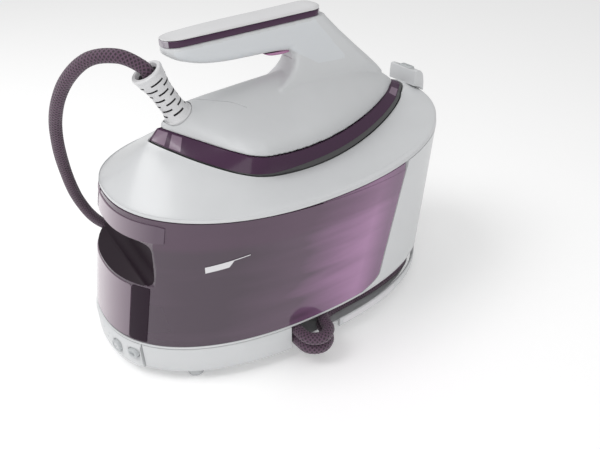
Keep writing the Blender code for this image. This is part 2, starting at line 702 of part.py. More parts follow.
# The wound stretch: two turns, one over the other, as one band round the hub, with the
# bight that stands out of the slot.
WOUND = [(0.0315, 0.0959), (0.0700, 0.0935), (0.1250, 0.0770), (0.1580, 0.0350),
         (0.1640, 0.0), (0.1580, -0.0350), (0.1250, -0.0770), (0.0700, -0.0930),
         (0.0250, -0.0965), (0.0040, -0.0990), (-0.0085, -0.1070), (-0.0130, -0.1180),
         (-0.0170, -0.1290), (-0.0278, -0.1345), (-0.0385, -0.1290), (-0.0413, -0.1180),
         (-0.0413, -0.0900), (-0.0420, -0.0400), (-0.0420, 0.0100)]
path = smooth([(x, y, 0.0) for x, y in WOUND], 3)
loops = []
for i, p in enumerate(path):
    tangent = path[min(i + 1, len(path) - 1)] - path[max(i - 1, 0)]
    out = Vector((tangent.y, -tangent.x, 0)).normalized()
    low, high, half = LOWER_Z - 0.0056, UPPER_Z + 0.0056, HOSE_R
    loops.append([p + out * dx + Vector((0, 0, z)) for dx, z in
                  ((-half + 0.003, low), (-half, low + 0.003), (-half, high - 0.003),
                   (-half + 0.003, high), (half - 0.003, high), (half, high - 0.003),
                   (half, low + 0.003), (half - 0.003, low))])
sweep("hose_coil", loops, "braid", walls=True)

# The upper turn crosses under the base to become the lower one, which ends at its gland.
tube("hose_link", smooth([(-0.0420, 0.0110, UPPER_Z), (-0.0400, 0.0400, 0.0295),
                          (-0.0310, 0.0690, 0.0255), (-0.0110, 0.0890, 0.0215),
                          (0.0120, 0.0952, 0.0198), (0.0311, 0.0959, LOWER_Z)], 3),
     HOSE_R, "braid", 2)
tube("hose_tail", smooth([(-0.0420, 0.0112, LOWER_Z), (-0.0435, 0.0240, 0.0198),
                          (-0.0490, 0.0390, 0.0202), (-0.0600, 0.0505, 0.0214),
                          (-0.0720, 0.0556, 0.0229), (-0.0830, 0.0562, 0.0231)], 3),
     HOSE_R, "braid", 2)
turned("hose_gland", ((0.0074, 0.0000), (0.0084, -0.0010), (0.0088, -0.0120),
                      (0.0064, -0.0120), (0.0064, -0.0014), (0.0068, 0.0), (0.0074, 0.0)),
       Vector((-0.0735, 0.0560, 0.0230)), Vector((1, 0, 0)), "grey_plastic", 20)

# ---------------------------------------------------------------- centre on the origin
for piece in list(parts.objects) + list(cutters.objects):
    piece.location.x += CENTRE_X
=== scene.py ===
import json
import math
import bmesh
import bpy
from mathutils import Matrix, Vector
from mathutils.bvhtree import BVHTree


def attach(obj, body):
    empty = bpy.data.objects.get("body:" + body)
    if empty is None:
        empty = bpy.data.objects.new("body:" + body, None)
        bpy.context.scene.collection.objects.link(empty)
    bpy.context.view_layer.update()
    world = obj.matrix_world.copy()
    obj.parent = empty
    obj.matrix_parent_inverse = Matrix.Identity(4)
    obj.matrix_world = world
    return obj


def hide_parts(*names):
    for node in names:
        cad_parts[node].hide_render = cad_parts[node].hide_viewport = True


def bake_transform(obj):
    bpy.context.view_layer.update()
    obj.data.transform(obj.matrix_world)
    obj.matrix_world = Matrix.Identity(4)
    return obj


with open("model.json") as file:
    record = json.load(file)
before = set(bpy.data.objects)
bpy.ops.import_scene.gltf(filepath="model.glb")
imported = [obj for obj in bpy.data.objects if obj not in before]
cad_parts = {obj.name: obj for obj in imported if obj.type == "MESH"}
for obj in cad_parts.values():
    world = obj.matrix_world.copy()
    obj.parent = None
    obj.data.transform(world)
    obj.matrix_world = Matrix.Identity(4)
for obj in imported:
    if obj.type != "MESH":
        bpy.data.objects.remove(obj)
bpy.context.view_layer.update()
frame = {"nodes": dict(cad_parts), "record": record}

CX = 0.00110  # metres along X from the drawing's origin to the CAD's

# ---- camera
AZ, EL = math.radians(-34.34), math.radians(33.27)
EYE = Vector((-0.25611, -0.43276, 0.40346))
SENSOR, LENS = 36.0, 33.4524  # millimetres
back = Vector((math.sin(AZ) * math.cos(EL), -math.cos(AZ) * math.cos(EL), math.sin(EL)))
right = Vector((math.cos(AZ), math.sin(AZ), 0))
cam_data = bpy.data.cameras.new("camera")
cam_data.sensor_width = SENSOR
cam_data.lens = LENS
cam_data.clip_start = 0.01
cam = bpy.data.objects.new("camera", cam_data)
bpy.context.scene.collection.objects.link(cam)
cam.matrix_world = (Matrix.Translation(EYE)
                    @ Matrix((right, back.cross(right), back)).transposed().to_4x4())
bpy.context.scene.camera = cam


# ---- materials
def new_material(name):
    mat = bpy.data.materials.new(name)
    mat.use_nodes = True
    tree = mat.node_tree
    return mat, tree, tree.nodes["Principled BSDF"]


def value_of(tree, source, low, high, start=0.0, end=1.0):
    """A 0-1 socket mapped to a range."""
    node = tree.nodes.new("ShaderNodeMapRange")
    node.inputs["From Min"].default_value = start
    node.inputs["From Max"].default_value = end
    node.inputs["To Min"].default_value = low
    node.inputs["To Max"].default_value = high
    tree.links.new(source, node.inputs["Value"])
    return node.outputs["Result"]


def blend_colours(tree, factor, one, two):
    node = tree.nodes.new("ShaderNodeMix")
    node.data_type = "RGBA"
    tree.links.new(factor, node.inputs["Factor"])
    for socket, value in (("A", one), ("B", two)):
        if isinstance(value, (tuple, list)):
            node.inputs[socket].default_value = (*value, 1)
        else:
            tree.links.new(value, node.inputs[socket])
    return node.outputs["Result"]


def calculate(tree, operation, *inputs, clamp=False):
    """A Math node's result; each input is a socket or a number."""
    node = tree.nodes.new("ShaderNodeMath")
    node.operation = operation
    node.use_clamp = clamp
    for socket, value in zip(node.inputs, inputs):
        if isinstance(value, (int, float)):
            socket.default_value = value
        else:
            tree.links.new(value, socket)
    return node.outputs[0]


def split_xyz(tree, vector):
    node = tree.nodes.new("ShaderNodeSeparateXYZ")
    tree.links.new(vector, node.inputs["Vector"])
    return node.outputs


def object_place(tree):
    return tree.nodes.new("ShaderNodeTexCoord").outputs["Object"]


def noise_of(tree, vector, scale, detail=3.0):
    node = tree.nodes.new("ShaderNodeTexNoise")
    node.inputs["Scale"].default_value = scale
    node.inputs["Detail"].default_value = detail
    tree.links.new(vector, node.inputs["Vector"])
    return node.outputs["Fac"]


def add_bump(tree, shader, height, strength, distance=0.0002):
    node = tree.nodes.new("ShaderNodeBump")
    node.inputs["Strength"].default_value = strength
    node.inputs["Distance"].default_value = distance
    tree.links.new(height, node.inputs["Height"])
    tree.links.new(node.outputs["Normal"], shader.inputs["Normal"])


CLOUD, GRAIN = 35.0, 900.0     # noise scales: the mottling and the moulded grain
MOTTLE, UNEVEN = 0.03, 0.06    # how far the colour and the gloss wander


def plastic(name, colour, rough, metal=0.0, coat=0.0, coat_rough=0.05, spec=0.5, bump=0.04):
    """A moulded surface: faint mottling, uneven gloss and a fine grain."""
    mat, tree, p = new_material(name)
    p.inputs["Metallic"].default_value = metal
    p.inputs["Coat Weight"].default_value = coat
    p.inputs["Coat Roughness"].default_value = coat_rough
    p.inputs["Specular IOR Level"].default_value = spec
    place = object_place(tree)
    cloud = noise_of(tree, place, CLOUD)
    gloss = value_of(tree, cloud, max(0.0, rough - UNEVEN), rough + UNEVEN)
    tree.links.new(gloss, p.inputs["Roughness"])
    dark = [c * (1 - MOTTLE) for c in colour]
    light = [min(1.0, c * (1 + MOTTLE)) for c in colour]
    tree.links.new(blend_colours(tree, cloud, dark, light), p.inputs["Base Color"])
    add_bump(tree, p, noise_of(tree, place, GRAIN), bump)
    return mat


WHITE = plastic("white_gloss", (0.60, 0.61, 0.62), 0.34, coat=0.18, coat_rough=0.14, bump=0.02)
PAD = plastic("handle_white", (0.66, 0.66, 0.67), 0.30, coat=0.2, bump=0.05)
GRIP = plastic("grip_insert", (0.63, 0.65, 0.67), 0.38, bump=0.08)
GREY = plastic("grey_plastic", (0.47, 0.49, 0.50), 0.42, bump=0.10)
SILVER = plastic("grey_lilac", (0.36, 0.33, 0.37), 0.25, coat=0.3, bump=0.03)
DARK = plastic("dark_plastic", (0.022, 0.022, 0.024), 0.38, bump=0.10)
SKIRT = plastic("heat_shield", (0.07, 0.07, 0.072), 0.30, coat=0.2, bump=0.06)
PURPLE = plastic("purple_clear", (0.052, 0.018, 0.050), 0.20, coat=0.15, spec=0.3, bump=0.01)
# a paler copy of the purple: painted light on the band's lit facets
FACET_PAINTED_LIGHT = plastic("purple_facet_painted_light", (0.20, 0.13, 0.19), 0.15, coat=0.4, bump=0.01)
PINK = plastic("pink_clear", (0.42, 0.18, 0.34), 0.14, coat=0.5, bump=0.02)
METAL = plastic("soleplate_metal", (0.42, 0.42, 0.44), 0.28, metal=1.0)
RUBBER = plastic("rubber_grey", (0.45, 0.46, 0.47), 0.6, bump=0.2)
BOARD = plastic("board", (0.02, 0.10, 0.04), 0.5)
# white for the printed marks, and also the painted highlight on the rim pad
PRINT_AND_HIGHLIGHT = plastic("print_and_painted_highlight", (0.68, 0.67, 0.69), 0.4, bump=0.02)
GREY_PRINT = plastic("print_grey", (0.30, 0.31, 0.32), 0.5, bump=0.02)
BLACK = plastic("gap_black", (0.006, 0.005, 0.006), 0.5, bump=0.02)
SLOT = plastic("slot_shade", (0.075, 0.070, 0.078), 0.5, bump=0.02)


def tank_material():
    """Smoky purple: dark at the control end, and pink where the white core shows through."""
    mat, tree, p = new_material("tank_clear")
    p.inputs["Coat Weight"].default_value = 0.5
    p.inputs["Coat Roughness"].default_value = 0.04
    p.inputs["Roughness"].default_value = 0.10
    place = object_place(tree)
    xyz = split_xyz(tree, place)
    slanted = calculate(tree, "MULTIPLY_ADD", xyz["Z"], -0.30, xyz["X"])
    along = value_of(tree, slanted, 0.0, 1.0, -0.130, 0.010)
    stretch = tree.nodes.new("ShaderNodeMapping")
    stretch.inputs["Scale"].default_value = (1.0, 1.0, 7.0)
    stretch.inputs["Rotation"].default_value = (0.0, 0.5, 0.0)
    tree.links.new(place, stretch.inputs["Vector"])
    soft = noise_of(tree, stretch.outputs["Vector"], 9.0, 2.0)
    streak = value_of(tree, soft, -0.10, 0.10, 0.3, 0.7)
    ramp = tree.nodes.new("ShaderNodeValToRGB")
    stops = ((0.0, (0.060, 0.036, 0.058)), (0.45, (0.105, 0.060, 0.100)),
             (0.72, (0.24, 0.12, 0.23)), (1.0, (0.40, 0.20, 0.38)))
    while len(ramp.color_ramp.elements) < len(stops):
        ramp.color_ramp.elements.new(0.5)
    for element, (at, colour) in zip(ramp.color_ramp.elements, stops):
        element.position = at
        element.color = (*colour, 1)
    tree.links.new(calculate(tree, "ADD", along, streak, clamp=True), ramp.inputs["Fac"])
    # darker in a band under the waist line; the rear edge is deeper, as two walls overlap there
    top = value_of(tree, xyz["Z"], 0.0, 0.45, 0.134, 0.140)
    shade = blend_colours(tree, top, ramp.outputs["Color"], (0.10, 0.045, 0.09))
    edge = calculate(tree, "MULTIPLY_ADD", xyz["Z"], -0.22, xyz["X"])
    rear = value_of(tree, edge, 0.0, 0.75, 0.018, 0.042)
    shade = blend_colours(tree, rear, shade, (0.15, 0.065, 0.145))
    tree.links.new(shade, p.inputs["Base Color"])
    p.inputs["Alpha"].default_value = 0.93
    add_bump(tree, p, noise_of(tree, place, 60.0), 0.02)
    return mat


TANK = tank_material()


STRANDS, TWIST = 8, 38.0  # strands each way round, and their turns in a metre of hose


def braid_material():
    """Woven sleeve: the strands cross in a diamond pattern laid out by the tube's own map."""
    mat, tree, p = new_material("braid")
    p.inputs["Roughness"].default_value = 0.62
    p.inputs["Sheen Weight"].default_value = 0.25
    uv = tree.nodes.new("ShaderNodeUVMap")
    uv.uv_map = "weave"
    xyz = split_xyz(tree, uv.outputs["UV"])
    waves = []
    for twist in (TWIST, -TWIST):
        turns = calculate(tree, "MULTIPLY_ADD", xyz["Y"], twist, xyz["X"])
        waves.append(calculate(tree, "SINE",
                               calculate(tree, "MULTIPLY", turns, 2 * math.pi * STRANDS)))
    most = calculate(tree, "MAXIMUM", *waves)
    weave = value_of(tree, most, 0.0, 1.0, -0.2, 1.0)
    worn = blend_colours(tree, noise_of(tree, object_place(tree), 260.0),
                         (0.090, 0.042, 0.078), (0.140, 0.072, 0.125))
    tree.links.new(blend_colours(tree, weave, (0.020, 0.009, 0.018), worn),
                   p.inputs["Base Color"])
    add_bump(tree, p, most, 0.6, 0.0005)
    return mat


BRAID = braid_material()

FINISH = {
    "white_gloss": WHITE, "grey_plastic": GREY, "dark_plastic": DARK, "purple_clear": PURPLE,
    "pink_clear": PINK, "metal": METAL, "rubber": RUBBER, "braid": BRAID, "board": BOARD,
}
for row in frame["record"]["subparts"]:
    obj = frame["nodes"][row["node"]]
    obj.data.materials.clear()
    obj.data.materials.append(FINISH[row["material_slot"]])


# ---- mesh helpers
def link(obj):
    bpy.context.scene.collection.objects.link(obj)
    return obj


def mix(a, b, t):
    return a + (b - a) * t


def ease(t):
    t = min(1.0, max(0.0, t))
    return t * t * (3 - 2 * t)


def spread(start, end, count):
    return [mix(start, end, i / (count - 1)) for i in range(count)]


def curve_point(a, b, c, d, t):
    """Catmull-Rom: a point between b and c, with a and d beyond them."""
    return 0.5 * (2 * b + (c - a) * t + (2 * a - 5 * b + 4 * c - d) * t * t
                  + (3 * b - a - 3 * c + d) * t ** 3)


def catmull(points, per_span):
    """An open curve through the points."""
    pts = [Vector(p) for p in points]
    pts = [2 * pts[0] - pts[1]] + pts + [2 * pts[-1] - pts[-2]]
    out = [curve_point(a, b, c, d, k / per_span)
           for a, b, c, d in zip(pts, pts[1:], pts[2:], pts[3:]) for k in range(per_span)]
    return out + [pts[-2]]


def table(rows, x):
    """Linear look-up in (x, value) rows."""
    for (x0, v0), (x1, v1) in zip(rows, rows[1:]):
        if x <= x1:
            return mix(v0, v1, max(0.0, (x - x0) / (x1 - x0)))
    return rows[-1][1]


def solid(name, bm, mats, smooth=35.0):
    """A bmesh as a linked object, moved from the drawing's frame to the CAD's."""
    bmesh.ops.recalc_face_normals(bm, faces=bm.faces)
    bmesh.ops.translate(bm, verts=bm.verts, vec=(CX, 0, 0))
    mesh = bpy.data.meshes.new(name)
    bm.to_mesh(mesh)
    bm.free()
    for mat in mats if isinstance(mats, (list, tuple)) else [mats]:
        mesh.materials.append(mat)
    obj = link(bpy.data.objects.new(name, mesh))
    mesh.shade_smooth()
    if smooth < 180:
        mesh.set_sharp_from_angle(angle=math.radians(smooth))
    return obj


def skin(bm, loops, closed=False, index=None):
    """Quads between equal loops, and the loops' vertices. closed joins the last to the first."""
    grid = [[bm.verts.new(p) for p in loop] for loop in loops]
    count = len(loops[0])
    for i in range(len(loops) if closed else len(loops) - 1):
        one, two = grid[i], grid[(i + 1) % len(loops)]
        for j in range(count):
            k = (j + 1) % count
            face = bm.faces.new((one[j], one[k], two[k], two[j]))
            if index:
                face.material_index = index(i, j)
    return grid


def loft(name, loops, mats, closed=False, smooth=35.0, index=None):
    """A solid through the loops, with flat ends unless it is closed."""
    bm = bmesh.new()
    grid = skin(bm, loops, closed, index)
    if not closed:
        for end in (grid[0], grid[-1]):
            bm.faces.new(end)
    return solid(name, bm, mats, smooth)


def wall(name, loops, mats, smooth=35.0):
    """A thin wall: each loop runs up its outside and down its inside, so its ends are strips."""
    bm = bmesh.new()
    grid = skin(bm, loops)
    count = len(loops[0])
    for end in (grid[0], grid[-1]):
        for j in range(count // 2 - 1):
            bm.faces.new((end[j], end[j + 1], end[count - 2 - j], end[count - 1 - j]))
    return solid(name, bm, mats, smooth)


def baked(obj):
    """Apply the modifiers for good."""
    graph = bpy.context.evaluated_depsgraph_get()
    mesh = bpy.data.meshes.new_from_object(obj.evaluated_get(graph))
    obj.modifiers.clear()
    obj.data = mesh
    return obj


def subtract(obj, tool):
    """Cut a solid out of the object, and drop the tool."""
    mod = obj.modifiers.new("cut", "BOOLEAN")
    mod.object = tool
    mod.operation = "DIFFERENCE"
    mod.solver = "EXACT"
    baked(obj)
    bpy.data.objects.remove(tool)
    return obj


def joined(name, objs):
    """Several meshes as one object, materials kept."""
    bm = bmesh.new()
    mats = []
    for obj in objs:
        part = bmesh.new()
        part.from_mesh(obj.data)
        part.transform(obj.matrix_world)
        slots = list(obj.data.materials)
        for slot in slots:
            if slot not in mats:
                mats.append(slot)
        for face in part.faces:
            face.material_index = mats.index(slots[min(face.material_index, len(slots) - 1)])
        temp = bpy.data.meshes.new("temp")
        part.to_mesh(temp)
        part.free()
        bm.from_mesh(temp)
        bpy.data.meshes.remove(temp)
        bpy.data.objects.remove(obj)
    mesh = bpy.data.meshes.new(name)
    bm.to_mesh(mesh)
    bm.free()
    for mat in mats:
        mesh.materials.append(mat)
    obj = link(bpy.data.objects.new(name, mesh))
    mesh.shade_smooth()
    mesh.set_sharp_from_angle(angle=math.radians(38))
    return obj


def fit(obj, body, slot, *nodes):
    """Hang the piece on a CAD body and take the nodes' place; slot, its finish, is not used."""
    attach(obj, body)
    if nodes:
        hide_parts(*nodes)
    return obj


# ---- the object's outlines
LOW_CX, LOW_A, LOW_B = -0.0037, 0.1850, 0.1155
TOP_CX, TOP_A, TOP_B = 0.0130, 0.1756, 0.1130
BODY_N = 2.27
DECK_FLOOR_Z, FLOOR_TOP, PLINTH_Z = 0.0384, 0.0410, 0.0106
WALL = 0.0028
CORE_CX, CORE_A, CORE_B, CORE_N = 0.030, 0.140, 0.084, 3.0
SLOT_ANGLE, RIM_ANGLE, PANEL_ANGLE = 101.5, 87.5, 154.2
# start, length, half width, widest share, heel, bow and tip powers, height, tilt and sag
DECK_LINE = (-0.1178, 0.2892, 0.0713, 0.2264, 1.25, 1.28, 0.50, 0.1682, -0.0017, 0.0307)
BAND_LINE = (-0.1087, 0.2674, 0.0680, 0.2062, 0.92, 1.18, 0.61, 0.1839, -0.0176, 0.0266)
SOLE_Z = 0.1640
UP = Vector((0, 0, 1))


def power(value, exponent):
    return math.copysign(abs(value) ** exponent, value)


def ellipse(angle, cx, a, b, n):
    turn = math.radians(angle)
    return cx + a * power(math.cos(turn), 2 / n), b * power(math.sin(turn), 2 / n)


def waist_z(x):
    u = (x - TOP_CX) / TOP_A
    return 0.1635 + 0.0092 * u + 0.0099 * u * u


def side(angle, t, inset=0.0):
    """Point of the station's side wall: t is 0 at the deck floor and 1 at the waist line."""
    x, y = ellipse(angle, mix(LOW_CX, TOP_CX, t), mix(LOW_A, TOP_A, t) - inset,
                   mix(LOW_B, TOP_B, t) - inset, BODY_N)
    return Vector((x, y, mix(DECK_FLOOR_Z, waist_z(x), t)))


def side_at(angle, z, inset=0.0):
    t = 0.5
    for _ in range(4):
        t = (z - DECK_FLOOR_Z) / (waist_z(side(angle, t).x) - DECK_FLOOR_Z)
    point = side(angle, t, inset)
    return Vector((point.x, point.y, z))


def foot_line(angle, inset, z):
    x, y = ellipse(angle, LOW_CX, LOW_A - inset, LOW_B - inset, BODY_N)
    return Vector((x, y, z))


def rear_angle(z):
    up = (z - DECK_FLOOR_Z) / (0.1669 - DECK_FLOOR_Z)
    return 67.3 + 6.5 * max(0.0, 1 - up) ** 0.8 + 10.0 * max(0.0, 1 - up / 0.12) ** 2


def sheer(line, share, grow=0.0):
    """A sheer line's x, half width and height, at a share of its length from the heel."""
    x0, length, wide, widest, heel, bow, tip, z0, tilt, sag = line

    def width(at):
        if at < widest:
            return (1 - abs(1 - at / widest) ** heel) ** (1 / heel)
        return max(0.0, 1 - ((at - widest) / (1 - widest)) ** bow) ** tip

    near = min(0.05, share, 1 - share)
    half = (width(share - near) + 2 * width(share) + width(share + near)) / 4
    x = x0 + length * share
    z = z0 + tilt * x + sag * ((x - 0.03) / 0.14) ** 2
    return x + 2 * grow * (share - 0.5), (wide + grow) * half, z


def skirt(angle, f, grow=0.0):
    """Point of the iron's flank: f is 0 at the band's top edge and 1 at the deck line."""
    turn = math.radians(angle)
    share = (1 + math.cos(turn)) / 2
    top, low = sheer(BAND_LINE, share, grow), sheer(DECK_LINE, share, grow)
    x, y, z = (mix(t, l, f) for t, l in zip(top, low))
    return Vector((x, math.copysign(y, math.sin(turn)), z))


def flat(angle, grow, z):
    at = skirt(angle, 1.0, grow)
    return Vector((at.x, at.y, z))


def band_low(angle):
    return 0.70 + 0.24 * ease((0.02 - skirt(angle, 0.0).x) / 0.09)


def outward(angle, t):
    """Level unit normal of the side wall, from its run on either side."""
    one, two = side(angle - 0.5, t), side(angle + 0.5, t)
    return Vector((two.y - one.y, one.x - two.x, 0)).normalized()


def facing(angle, t):
    """Level direction from the middle of the wall's curve out through it."""
    return ((side(angle, t) - side(angle, t, 0.02)) * Vector((1, 1, 0))).normalized()


def angle_where(test, low, high):
    """The angle at which the test stops holding."""
    for _ in range(30):
        mid = (low + high) / 2
        if test(mid):
            low = mid
        else:
            high = mid
    return mid


RING = [360 * i / 176 for i in range(176)]

# ---- hose
HOSE_R = 0.0058
UPPER_Z, LOWER_Z = 0.0317, 0.0197
RELIEF_AT = Vector((-0.0870, 0.0, 0.2176))
RELIEF_DIR = Vector((-0.480, 0.0, 0.877)).normalized()
TALL = 0.0500
EXIT = RELIEF_AT + RELIEF_DIR * TALL
HOSE_START = RELIEF_AT + RELIEF_DIR * 0.0040
FREE = [HOSE_START, HOSE_START + RELIEF_DIR * 0.026, EXIT - RELIEF_DIR * 0.004,
        EXIT + RELIEF_DIR * 0.0045, (-0.1290, 0.0080, 0.2745),
        (-0.1490, 0.0260, 0.2700), (-0.1660, 0.0500, 0.2450), (-0.1745, 0.0760, 0.2060),
        (-0.1735, 0.0980, 0.1560), (-0.1640, 0.1170, 0.1020), (-0.1440, 0.1290, 0.0600),
        (-0.1100, 0.1340, 0.0370), (-0.0660, 0.1310, UPPER_Z), (-0.0330, 0.1210, UPPER_Z),
        (-0.0100, 0.1090, UPPER_Z), (0.0120, 0.0990, UPPER_Z)]
WOUND = [(0.0315, 0.0959), (0.0700, 0.0935), (0.1250, 0.0770), (0.1580, 0.0350),
         (0.1640, 0.0), (0.1580, -0.0350), (0.1250, -0.0770), (0.0700, -0.0930),
         (0.0250, -0.0965), (0.0040, -0.0990), (-0.0085, -0.1070), (-0.0130, -0.1180),
         (-0.0170, -0.1290), (-0.0278, -0.1345), (-0.0385, -0.1290), (-0.0413, -0.1180),
         (-0.0413, -0.0900), (-0.0420, -0.0400), (-0.0420, 0.0100)]
LINK = [(-0.0400, 0.0400, 0.0295), (-0.0310, 0.0690, 0.0255), (-0.0110, 0.0890, 0.0215),
        (0.0120, 0.0952, 0.0198)]
TAIL = [(-0.0435, 0.0240, 0.0198), (-0.0490, 0.0390, 0.0202), (-0.0600, 0.0505, 0.0214),
        (-0.0720, 0.0556, 0.0229), (-0.0825, 0.0562, 0.0231)]
line = catmull([Vector(p) for p in FREE] + [Vector((x, y, UPPER_Z)) for x, y in WOUND]
               + [Vector(p) for p in LINK] + [Vector((x, y, LOWER_Z)) for x, y in WOUND]
               + [Vector(p) for p in TAIL], 12)


def resampled(points, step):
    """The same line with a point at every step."""
    out, carry = [points[0].copy()], 0.0
    for a, b in zip(points, points[1:]):
        run = (b - a).length
        at = step - carry
        while at <= run:
            out.append(a.lerp(b, at / run))
            at += step
        carry = run - (at - step)
    return out


RELIEF = 0.045  # the strands' height, as a share of the hose's radius


def braided(name, path, radius, mat):
    """Tube with a woven relief; its map counts turns round and metres along."""
    around = 32
    bm = bmesh.new()
    uv = bm.loops.layers.uv.new("weave")
    side_dir = Vector((0, 1, 0))
    rings, lengths, total = [], [], 0.0
    for i, p in enumerate(path):
        if i:
            total += (p - path[i - 1]).length
        lengths.append(total)
        tangent = (path[min(i + 1, len(path) - 1)] - path[max(i - 1, 0)]).normalized()
        side_dir = (side_dir - tangent * side_dir.dot(tangent)).normalized()
        other = tangent.cross(side_dir)
        ring = []
        for k in range(around):
            turn = 2 * math.pi * k / around
            one = math.sin(STRANDS * (turn + 2 * math.pi * total * TWIST))
            two = math.sin(STRANDS * (turn - 2 * math.pi * total * TWIST))
            r = radius * (1 - RELIEF + RELIEF * max(one, two))
            ring.append(bm.verts.new(p + (side_dir * math.cos(turn)
                                          + other * math.sin(turn)) * r))
        rings.append(ring)
    for i in range(len(rings) - 1):
        for k in range(around):
            j = (k + 1) % around
            face = bm.faces.new((rings[i][k], rings[i][j], rings[i + 1][j], rings[i + 1][k]))
            for loop, (u, v) in zip(face.loops, ((k, i), (k + 1, i), (k + 1, i + 1),
                                                 (k, i + 1))):
                loop[uv].uv = (u / around, lengths[v])
    bm.faces.new(rings[0])
    bm.faces.new(rings[-1])
    return solid(name, bm, mat, 180)


hose_path = resampled(line, 0.0017)
hose = braided("steam_hose_braided", hose_path, HOSE_R, BRAID)
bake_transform(hose)
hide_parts("steam_hose", "hose_coil", "hose_link", "hose_tail")

# ---- upper housing
loops = []
for a in RING:
    low = side(a, 1.0)
    edge = skirt(a, 1.0)
    out = outward(a, 1.0)
    plan = Vector((low.x, low.y, 0))
    lean = Vector((edge.x, edge.y, 0)) - plan
    heel = ease((-0.030 - low.x) / 0.080)
    rise = mix(0.0045 + 0.0060 * ease((edge.z - low.z - 0.004) / 0.020), 0.0030, heel)
    crown = plan + lean * 0.045 + UP * (low.z + rise)
    bulge = plan + lean * 0.30 + UP * mix(low.z + rise, edge.z, 0.42 - 0.14 * heel)
    shoulder = catmull([low - out * 0.0007 + UP * 0.0030, crown, bulge,
                        mix(bulge, edge, 0.62) + UP * 0.0008, edge], 5)
    into = lean.normalized()
    near = side(a, 1.0, WALL)
    pull = Vector((near.x, near.y, 0)) - plan
    drop = UP * -0.0028
    loops.append([low - out * 0.0013, low - out * 0.0003 + UP * 0.0002,
                  low + UP * 0.0007, low - out * 0.0004 + UP * 0.0022]
                 + shoulder[:-1] + [edge - into * 0.0008 - UP * 0.0001, edge - UP * 0.0009,
                                    edge + drop, bulge + pull * 0.8 + drop, crown + pull, near])
fit(loft("upper_housing_shell", loops, WHITE, closed=True, smooth=42), "base", "white_gloss",
    "upper_housing")

# ---- tank
HEIGHTS = [FLOOR_TOP + 0.0004, 0.0428, 0.0445, 0.0467, 0.0490, 0.0517, 0.0545, 0.0640,
           0.0800, 0.1000, 0.1200, 0.1360, 0.1500, 0.1595]


def tank_top(x):
    low = waist_z(x) if x < TOP_CX - 0.46 * TOP_A else 0.1613
    return low - 0.0006


CORE_GAP = 0.0015  # between the tank's inner wall and the core


def tank_loops(count=110):
    """The horseshoe wall, from one rear edge round the front to the other."""
    heights = [z + 0.00001 * i for i, z in enumerate(HEIGHTS)] + [0.1607]
    found = []
    for i in range(count):
        f = 1 - 2 * i / (count - 1)
        outer, inner = [], []
        for z in heights:
            edge = rear_angle(z)
            at = side_at(180 - f * (180 - edge), z, 0.0003)
            reach = (side_at(edge, z).x - CORE_CX) / (CORE_A + CORE_GAP)
            turn = math.degrees(math.acos(power(reach, CORE_N / 2)))
            x, y = ellipse(180 - f * (180 - turn), CORE_CX, CORE_A + CORE_GAP,
                           CORE_B + CORE_GAP, CORE_N)
            if z == heights[-1]:
                z = tank_top(at.x)
            outer.append(Vector((at.x, at.y, z)))
            inner.append(Vector((x, y, z)))
        found.append(outer + inner[::-1])
    return found


def rounded_box(name, low, high, radius, mat):
    bm = bmesh.new()
    bmesh.ops.create_cube(bm, size=1.0)
    bmesh.ops.scale(bm, vec=[h - l for l, h in zip(low, high)], verts=bm.verts)
    bmesh.ops.translate(bm, vec=[(h + l) / 2 for l, h in zip(low, high)], verts=bm.verts)
    bmesh.ops.bevel(bm, geom=bm.edges, offset=radius, segments=6, profile=0.5,
                    affect="EDGES")
    return solid(name, bm, mat, 40)


RECESS_LOW, RECESS_HIGH = (-0.2100, -0.0640, 0.1003), (-0.1480, 0.0640, 0.1414)
# near-black for the tank's handle recess: painted shade in the recess
RECESS_PAINTED_SHADE = plastic("recess_painted_shade", (0.016, 0.007, 0.014), 0.55, spec=0.25, bump=0.01)
tank = wall("tank_shell", tank_loops(), [TANK, RECESS_PAINTED_SHADE], 40)
subtract(tank, rounded_box("recess_tool", RECESS_LOW, RECESS_HIGH, 0.009, RECESS_PAINTED_SHADE))
# the faces inside the recess take the painted shade
for face in tank.data.polygons:
    c = face.center - Vector((CX, 0, 0))
    turn = math.degrees(math.atan2(c.y / TOP_B, (c.x - TOP_CX) / TOP_A))
    if c.x < -0.13 and abs(c.y) < 0.0645 and 0.0998 < c.z < 0.1419:
        nearest = min((side_at(t, c.z) - c).length for t in spread(150, 210, 61))
        face.material_index = 1 if nearest > 0.0011 else 0
fit(tank, "water_tank", "purple_clear", "water_tank")


def tank_skin(name, y0, y1, z0, z1, lift, mat, corner=0.004, thick=0.0010, steps=26):
    """A thin panel that follows the tank's front, between two sides and two heights."""
    def at(y, z, out):
        return side_at(angle_where(lambda t: side_at(t, z).y > y, 95.0, 265.0), z, -out)

    loops = []
    for i in range(steps):
        y = mix(y0, y1, i / (steps - 1))
        inset = max(0.0, corner - min(y - y0, y1 - y))
        trim = corner - math.sqrt(max(0.0, corner ** 2 - inset ** 2))
        rows = spread(z0 + trim, z1 - trim, 12)
        front = [at(y, z, lift) for z in rows]
        loops.append(front + [at(y, z, lift - thick) for z in rows[::-1]])
    return wall(name, loops, mat, 30)


def fading_material(name, start, end, one, two):
    """Glossy tint that deepens along Y, as light leaks in from the far end."""
    mat, tree, p = new_material(name)
    p.inputs["Roughness"].default_value = 0.16
    p.inputs["Coat Weight"].default_value = 0.5
    place = object_place(tree)
    along = value_of(tree, split_xyz(tree, place)["Y"], 0.0, 1.0, start, end)
    tree.links.new(blend_colours(tree, along, one, two), p.inputs["Base Color"])
    add_bump(tree, p, noise_of(tree, place, 60.0), 0.02)
    return mat


